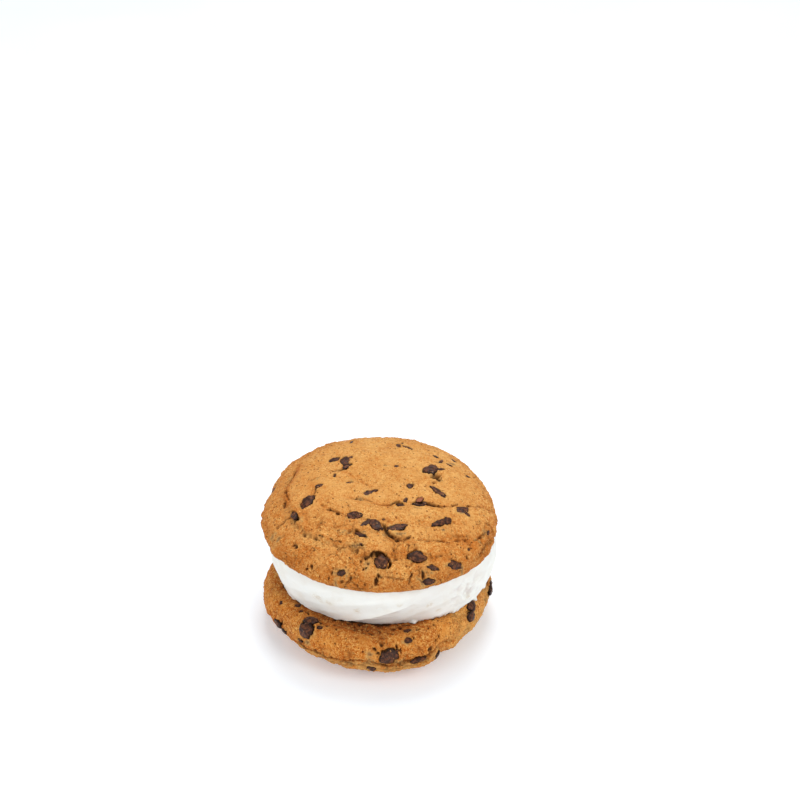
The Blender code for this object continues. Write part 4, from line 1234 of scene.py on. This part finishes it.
def bottom_cookie_pieces(dough, chocolate):
    """Lower cookie: sandy flat side with pores, round edge, and a crackled dome underneath."""
    waist = LOW_HEIGHT - LOW_EDGE_DROP

    def spacing(radius, height):
        hidden = (height > waist and radius < 26.0) or (height < 0.01 and radius < LOW_REST_RADIUS - 1.0)
        return HIDDEN_SPACING if hidden else LOW_SPACING

    points, triangles = turned(low_profile(), spacing, 2)
    radius = np.hypot(points[:, 0], points[:, 1])
    direction = direction_of(points[:, 0], points[:, 1])
    level = points[:, 2].copy()
    reach = along_surface(radius, level)
    out = swell(direction, LOW_RIM_SWELLS) * ramp(radius, LOW_REST_RADIUS, LOW_RADIUS)
    out += 0.34 * rough(points, 5.0, 4, 16) * ramp(radius, 0.85 * LOW_RADIUS, LOW_RADIUS)
    ledge = along_table(direction, LEDGE_LEVELS) + 0.20 * rough(points * (1, 1, 0), 6.0, 2, 199)
    ledge_span = ramp(direction, LEDGE_SPAN[0], LEDGE_SPAN[0] + LEDGE_FADE[0])
    ledge_span *= ramp(-direction, -LEDGE_SPAN[1], LEDGE_FADE[1] - LEDGE_SPAN[1])
    slab = ramp(ledge - level, -0.1, 0.6) * ramp(level, 3.0, 7.0)
    out += slab * swell(direction, SLAB_SWELLS) * ramp(radius, 37.0, 40.0)
    under = ramp(waist - level, 0.0, 3.0) * ramp(radius, LOW_REST_RADIUS + 2.0, LOW_REST_RADIUS + 10.0)
    down = dome_relief(points) * under
    points = widened(points, radius, out)
    points[:, 2] = np.maximum(0.0, points[:, 2] - down)
    chips = low_chip_list(surface_tree(points, triangles))
    normals = vertex_normals(points, triangles)
    off_rest = ramp(radius, LOW_REST_RADIUS + 1.0, LOW_REST_RADIUS + 6.0)
    free = np.maximum(ramp(level, waist - 6.0, waist), off_rest)
    foot = cream_foot(direction) + LOW_OFFSET[1] * np.cos(np.radians(direction))
    upper = ramp(level, waist, waist + 4.0)
    wavy = 1.0 + 0.35 * rough(points * (1, 1, 0), 4.0, 2, 209)
    # Band beside the cream's foot: partly browner dough, partly painted shade under the cream and the upper
    # cookie
    beside_cream = bell(np.maximum(radius - foot, 0.0), along_table(direction, BAND_REACH) * wavy)
    beside_cream = beside_cream * upper * along_table(direction, BAND_STRENGTH)
    uneven = rough(points, 2.4, 3, 207)
    # A dent at the cream's foot, with a painted contact shadow along it
    foot_dent_and_shadow = ramp(foot + 0.8 + 1.6 * uneven - radius, -0.3, 0.5) * upper
    socket, cavity_shade, smear = press_chips(points, chips)
    patches = clipped_noise(points, 0.5, 1.2, 8.0, 2, 181)
    # Pores beside the cream, darkened with painted shade
    pores, pore_shade = add_pits(points, 1.6, 0.80, 0.9, beside_cream * (0.55 + 1.1 * patches), 191)
    dots, dot_dark = add_pits(points, 1.05, 0.20, 0.35, 0.35 + 0.5 * patches + 0.8 * beside_cream, 192)
    pits, holes = add_pits(points, 2.4, 0.22, 0.6, (1.0 - upper) * (0.3 + patches) + 0.22 * patches, 193)
    net, lines = crack_net(points, 7.0, 0.36, 0.8, (1.0 - upper) * np.clip(patches * 1.6 - 0.2, 0, 1), 195)
    edge_net, edge_lines = crack_net(points, 6.0, 0.26, 0.4, upper * np.clip(patches * 2.0 - 1.3, 0, 1), 197)
    # The ledge lines are grooves darkened with painted shade
    shelf_line = bell(level - ledge, LEDGE_THICKNESS) * ramp(radius, 38.0, 41.0)
    shelf = shelf_line * ledge_span * clipped_noise(points, 0.75, 0.7, 5.0, 2, 201)
    shelf = np.maximum(shelf, 0.7 * shelf_line * clipped_noise(points, -0.2, 1.4, 9.0, 2, 205))
    second_line = bell(level - ledge + LEDGE_BELOW, LEDGE_THICKNESS) * ledge_span
    shelf = np.maximum(shelf, 0.75 * second_line * clipped_noise(points, 0.65, 0.9, 6.0, 2, 206))
    around = np.radians(direction) * radius
    ragged = 0.35 * rough(points, 1.9, 3, 203)
    hole_relief = np.zeros(len(points))
    hole_shade = np.zeros(len(points))
    # Listed holes are dents darkened with painted shade
    for hole_direction, hole_reach, across, along, depth in LOW_HOLES:
        aside = around - math.radians(hole_direction) * radius + ragged
        hole = hollow(aside, reach - hole_reach + ragged, 0.0, across, along)
        hole_relief -= depth * hole
        hole_shade = np.maximum(hole_shade, hole)
    thin = clipped_noise(points, 0.75, 0.9, 1.6, 2, 211, low=0.2)
    for smear_direction, smear_reach, across, along in LOW_SMEARS:
        aside = around - math.radians(smear_direction) * radius + 2.0 * ragged
        beyond = reach - smear_reach + 2.0 * ragged
        smear = np.maximum(smear, spot(aside, beyond, across, along) * thin)
    grain = granules(points, 1.10, 121) * (0.30 + 0.04 * (1.0 - upper))
    grain += 0.26 * rough(points, 5.0, 2, 127)
    # Painted light: the right side is made paler, less brown, greyer and smoother in tone than the rest
    right_side = ramp(direction, 22.0, 58.0) * ramp(-direction, -130.0, -100.0)
    grain += (0.22 - 0.04 * upper) * rough(points, 3.0, 3, 125)
    relief = pores + dots + pits + net + edge_net + grain + hole_relief - 1.1 * shelf - 0.5 * foot_dent_and_shadow
    away = 1.0 - np.clip(cavity_shade, 0.0, 1.0)
    points = points + normals * ((relief * away + socket) * free)[:, None]
    points[:, 2] = np.maximum(points[:, 2], 0.0)
    # The fields: browning in patches and on the dome, plus the band beside the cream, which is partly painted
    # shade, and less brown on the right side, which is painted light; toasted specks, the band and the
    # contact shadow; painted shade in pores, holes, cracks, ledge lines and chip sockets; a greyer smear
    # below the ledge and on the right side; paler on the right side, painted light
    fields = {
        "brown": 0.14 + 0.55 * beside_cream + 0.40 * (patches - 0.3) + 0.20 * (1.0 - upper)
                 - 0.45 * right_side,
        "toast_and_shade": np.maximum.reduce([beside_cream * (0.95 + 0.30 * patches), foot_dent_and_shadow, 0.85 * dot_dark]),
        "cavity_shade": np.maximum.reduce([cavity_shade, pore_shade, 0.7 * holes, 0.7 * lines,
                                     0.6 * edge_lines, 0.9 * shelf, hole_shade, foot_dent_and_shadow]),
        "smear": np.maximum.reduce([smear, 0.42 * slab * ledge_span, 0.35 * right_side * patches,
                                    0.45 * right_side * (1.0 - upper)]),
        "coarse": 0.80 + 0.35 * patches - 0.25 * right_side,
        "pale": 0.85 * right_side,
    }
    shift = np.array((LOW_OFFSET[0], LOW_OFFSET[1], 0.0))
    chip_points, chip_triangles, chip_fields = chip_surface(chips, 43)
    return [
        make_piece("bottom_cookie_dough", points + shift, triangles, fields, dough),
        make_piece("bottom_cookie_chips", chip_points + shift, chip_triangles, chip_fields, chocolate),
    ]


def cream_foot(direction):
    """Distance of the cream's foot from the axis."""
    lean = np.cos(np.radians(direction))
    return CREAM_FOOT_RADIUS - CREAM_SHIFT_BACK * lean + swell(direction, CREAM_FOOT_SWELLS)


def cream_piece(material):
    """Cream between the flat sides: smooth from spreading, with a crease and a torn patch at the front."""
    def spacing(radius, height):
        return CREAM_SPACING if radius > 0.90 * CREAM_TOP_RADIUS else HIDDEN_SPACING

    drum = [(0.0, CREAM_HEIGHT), (CREAM_TOP_RADIUS, CREAM_HEIGHT), (CREAM_TOP_RADIUS, 0.0), (0.0, 0.0)]
    points, triangles = turned(drum, spacing, 3)
    level = points[:, 2] / CREAM_HEIGHT
    share = np.hypot(points[:, 0], points[:, 1]) / CREAM_TOP_RADIUS
    direction = direction_of(points[:, 0], points[:, 1])
    angle = np.radians(direction)
    lean = np.cos(angle)
    top = CREAM_TOP_RADIUS - 0.45 * CREAM_SHIFT_BACK * lean + swell(direction, CREAM_TOP_SWELLS)
    foot = cream_foot(direction)
    radius = foot + (top - foot) * ramp(level, 0.0, 1.0)
    radius += CREAM_BULGE * np.sin(math.pi * np.clip(level, 0.0, 1.0)) ** 0.7
    knobs = np.stack([np.sin(angle) * 3.0, lean * 3.0, level * 2.0], axis=1)
    radius += 0.5 * np.array([noise.noise(Vector(knob)) for knob in knobs])
    around = np.stack([np.sin(angle), lean], axis=1) * CREAM_TOP_RADIUS
    height = level * CREAM_HEIGHT

    def streaks(length, climb, thickness):
        slanted = (height - climb * direction) / thickness
        return np.stack([around[:, 0] / length, around[:, 1] / length, slanted], axis=1)

    fine = gradient_noise(streaks(*FINE_STREAKS[:3]), 8)
    radius += BROAD_STREAKS[3] * gradient_noise(streaks(*BROAD_STREAKS[:3]), 7) + FINE_STREAKS[3] * fine
    spots = np.stack([around[:, 0], around[:, 1], height], axis=1)
    radius += 0.20 * rough(spots, 9.0, 2, 9)
    crease = height - along_table(direction, CREASE_PATH) + 0.2 * rough(spots, 5.0, 2, 10)
    above = np.exp(-np.maximum(crease, 0.0) / 2.5)
    below = np.exp(-np.maximum(-crease, 0.0) / 3.5)
    start, full, fading, end = CREASE_ENDS
    crease_reach = ramp(direction, start, full) * ramp(-direction, -end, -fading)
    radius += CREASE_LIP * ramp(crease, -0.30, 0.20) * above * crease_reach
    radius -= CREASE_RECESS * ramp(-crease, -0.20, 0.35) * below * crease_reach
    torn = bell(direction - CURL[0], TORN_SPAN[0]) * bell(height - CURL[1], TORN_SPAN[1])
    tears = rough(spots, 3.2, 2, 12)
    radius += TORN_DEPTH * torn * (tears - 0.25 * np.abs(gradient_noise(spots / 1.8, 11)))
    from_curl = np.hypot(DEGREE_LENGTH * (direction - CURL[0]), height - CURL[1])
    from_curl = from_curl + 0.8 * rough(spots, 3.0, 2, 18)
    radius += 0.55 * np.cos(2.1 * from_curl) * bell(from_curl, 3.4)
    teeth = np.abs(rough(spots * (1, 1, 0.4), 2.7, 2, 13)) - 0.30
    radius += (0.4 + 1.9 * ramp(direction, 24.0, 38.0)) * teeth * ramp(-height, -2.6, 0.0)
    radius += 1.3 * bell(direction - 24.5, 2.0) * ramp(-height, -1.4, 0.0)
    radius += 0.8 * ramp(-direction, 61.5, 64.0) * np.exp(-height / 2.5)
    radius += 0.30 * bell(height - 0.7, 0.6) * ramp(-direction, 14.0, 26.0)
    radius += 0.30 * rough(spots, 2.6, 3, 14) * ramp(level, 0.88, 1.0)
    radius += add_pits(spots, 4.2, 0.10, 0.30, np.ones(len(spots)), 17)[0]
    x = share * radius * np.sin(angle)
    y = -share * radius * lean
    turn, seat = top_place()
    normal = turn @ np.array((0.0, 0.0, 1.0))
    slope = normal[0] * (x - seat[0]) + normal[1] * (y - seat[1])
    ceiling = seat[2] - slope / normal[2] + CREAM_PRESS
    floor = LOW_HEIGHT - CREAM_PRESS - CREAM_DROOP * ramp(share * radius, *CREAM_DROOP_SPAN)
    points = np.stack([x, y, floor + (ceiling - floor) * level], axis=1)
    stain = np.zeros(len(points))
    for stain_direction, stain_height, size in CREAM_STAINS:
        away = np.hypot(DEGREE_LENGTH * (direction - stain_direction), height - stain_height)
        stain = np.maximum(stain, bell(away + 0.5 * rough(spots, 1.6, 2, 19), size))
    # Painted shade: below the crease, low at the front of the foot, on the right at mid height, and in the
    # torn patch's hollows
    shade = ramp(-crease, -0.15, 0.30) * np.exp(-np.maximum(-crease, 0.0) / 6.5) * crease_reach
    painted_shade = shade * np.clip(0.50 + 0.8 * fine, 0.15, 0.9)
    painted_shade = np.maximum(painted_shade, 0.55 * ramp(-height, -3.0, 0.0) * ramp(-np.abs(direction), -50.0, -20.0))
    painted_shade = np.maximum(painted_shade, 0.22 * bell(direction - 32.0, 16.0))
    painted_shade = np.maximum(painted_shade, 1.3 * torn * np.clip(-1.4 * tears - 0.1, 0.0, 0.8))
    return make_piece("cream_layer", points, triangles, {"stain": stain, "painted_shade": painted_shade}, material)


def centre_on_base(made):
    """Moves all pieces together to where the solids are."""
    lows = np.array([np.array(piece.bound_box).min(axis=0) for piece in made]).min(axis=0)
    highs = np.array([np.array(piece.bound_box).max(axis=0) for piece in made]).max(axis=0)
    cad_low, cad_high = np.array(cad_box[0]), np.array(cad_box[1])
    shift = 0.5 * (cad_low + cad_high) - 0.5 * (lows + highs)
    shift[2] = 0.0
    for piece in made:
        piece.data.transform(Matrix.Translation(shift))
    return shift


# Studio

AIM_POINT = (0.0, 0.0, 25.0)
AIM_PIXEL = (378.4, 557.8)
IMAGE_SIZE = 800.0
FOCAL_PIXELS = 2416.0
SENSOR_MM = 36.0
SIGHT_ELEVATION = 38.0
CAMERA_DISTANCE = 0.889
ROOM_BRIGHTNESS = 0.53
# Lights: name, place, size and power, all aimed at one point
LIGHTS = (("overhead", (0.03, 0.28, 0.75), 0.36, 2.85), ("left_fill", (-0.50, -0.52, 0.46), 0.5, 1.8),
          ("right_fill", (0.52, -0.46, 0.58), 0.5, 2.65))
LIGHT_AIM = (0.0, 0.0, 0.03)
FLOOR_SIZE = 6.0
FLOOR_LEVEL = -0.0002
FLOOR_GLOW = 0.22


def add_camera(shift):
    """Camera of the photograph: the pie sits below and left of the picture's middle."""
    data = bpy.data.cameras.new("camera")
    data.sensor_width = SENSOR_MM
    data.lens = SENSOR_MM * FOCAL_PIXELS / IMAGE_SIZE
    data.clip_start = 0.05
    camera = bpy.data.objects.new("camera", data)
    right = (AIM_PIXEL[0] - 0.5 * IMAGE_SIZE) / FOCAL_PIXELS
    down = (AIM_PIXEL[1] - 0.5 * IMAGE_SIZE) / FOCAL_PIXELS
    tilt = math.radians(SIGHT_ELEVATION) - math.atan(down)
    turn = Euler((0.5 * math.pi - tilt, 0.0, 0.0)).to_matrix()
    ray = (turn @ Vector((right, -down, -1.0))).normalized()
    target = Vector(AIM_POINT) * MM + Vector(shift)
    camera.location = target - ray * CAMERA_DISTANCE
    camera.rotation_euler = turn.to_euler()
    bpy.context.scene.collection.objects.link(camera)
    bpy.context.scene.camera = camera


def add_light(name, place, size, power):
    data = bpy.data.lights.new(name, "AREA")
    data.shape = "DISK"
    data.size = size
    data.energy = power
    light = bpy.data.objects.new(name, data)
    light.location = place
    light.rotation_euler = (Vector(LIGHT_AIM) - Vector(place)).to_track_quat("-Z", "Y").to_euler()
    bpy.context.scene.collection.objects.link(light)


def add_studio():
    """White room with three soft lights and a plain pale floor."""
    world = bpy.data.worlds.new("soft_room")
    world.use_nodes = True
    background = world.node_tree.nodes["Background"]
    background.inputs["Color"].default_value = (1.0, 1.0, 1.0, 1.0)
    background.inputs["Strength"].default_value = ROOM_BRIGHTNESS
    bpy.context.scene.world = world
    for light in LIGHTS:
        add_light(*light)
    bpy.ops.mesh.primitive_plane_add(size=FLOOR_SIZE, location=(0.0, 0.0, FLOOR_LEVEL))
    floor = bpy.context.object
    floor.name = "floor"
    graph = Graph("floor_paint")
    colour = graph.mix(graph.spread(graph.noise(60.0, 2.0), 0.3, 0.7), FLOOR_WHITE, FLOOR_SHADE)
    floor.data.materials.append(graph.finish(colour, 0.9, graph.bump(graph.noise(1.5, 3.0), 0.02, 0.1),
                                            Emission_Color=FLOOR_WHITE, Emission_Strength=FLOOR_GLOW))
    bpy.context.scene.view_settings.view_transform = "Standard"
    bpy.context.scene.view_settings.look = "None"


def main():
    chocolate = chocolate_material()
    upper = dough_material("baked_dough_upper", TOP_LIGHT, TOP_MIDDLE, TOP_BROWN, 1.22)
    lower = dough_material("baked_dough_lower", LOW_LIGHT, LOW_MIDDLE, LOW_BROWN, 1.40)
    top_dough, top_chips = top_cookie_pieces(upper, chocolate)
    low_dough, low_chips = bottom_cookie_pieces(lower, chocolate)
    cream = cream_piece(cream_material())
    made = [top_dough, top_chips, low_dough, low_chips, cream]
    shift = centre_on_base(made)
    for piece in made:
        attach(piece, "root")
    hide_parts("top_cookie")
    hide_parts("bottom_cookie")
    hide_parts("cream_filling")
    add_studio()
    add_camera(shift)


main()
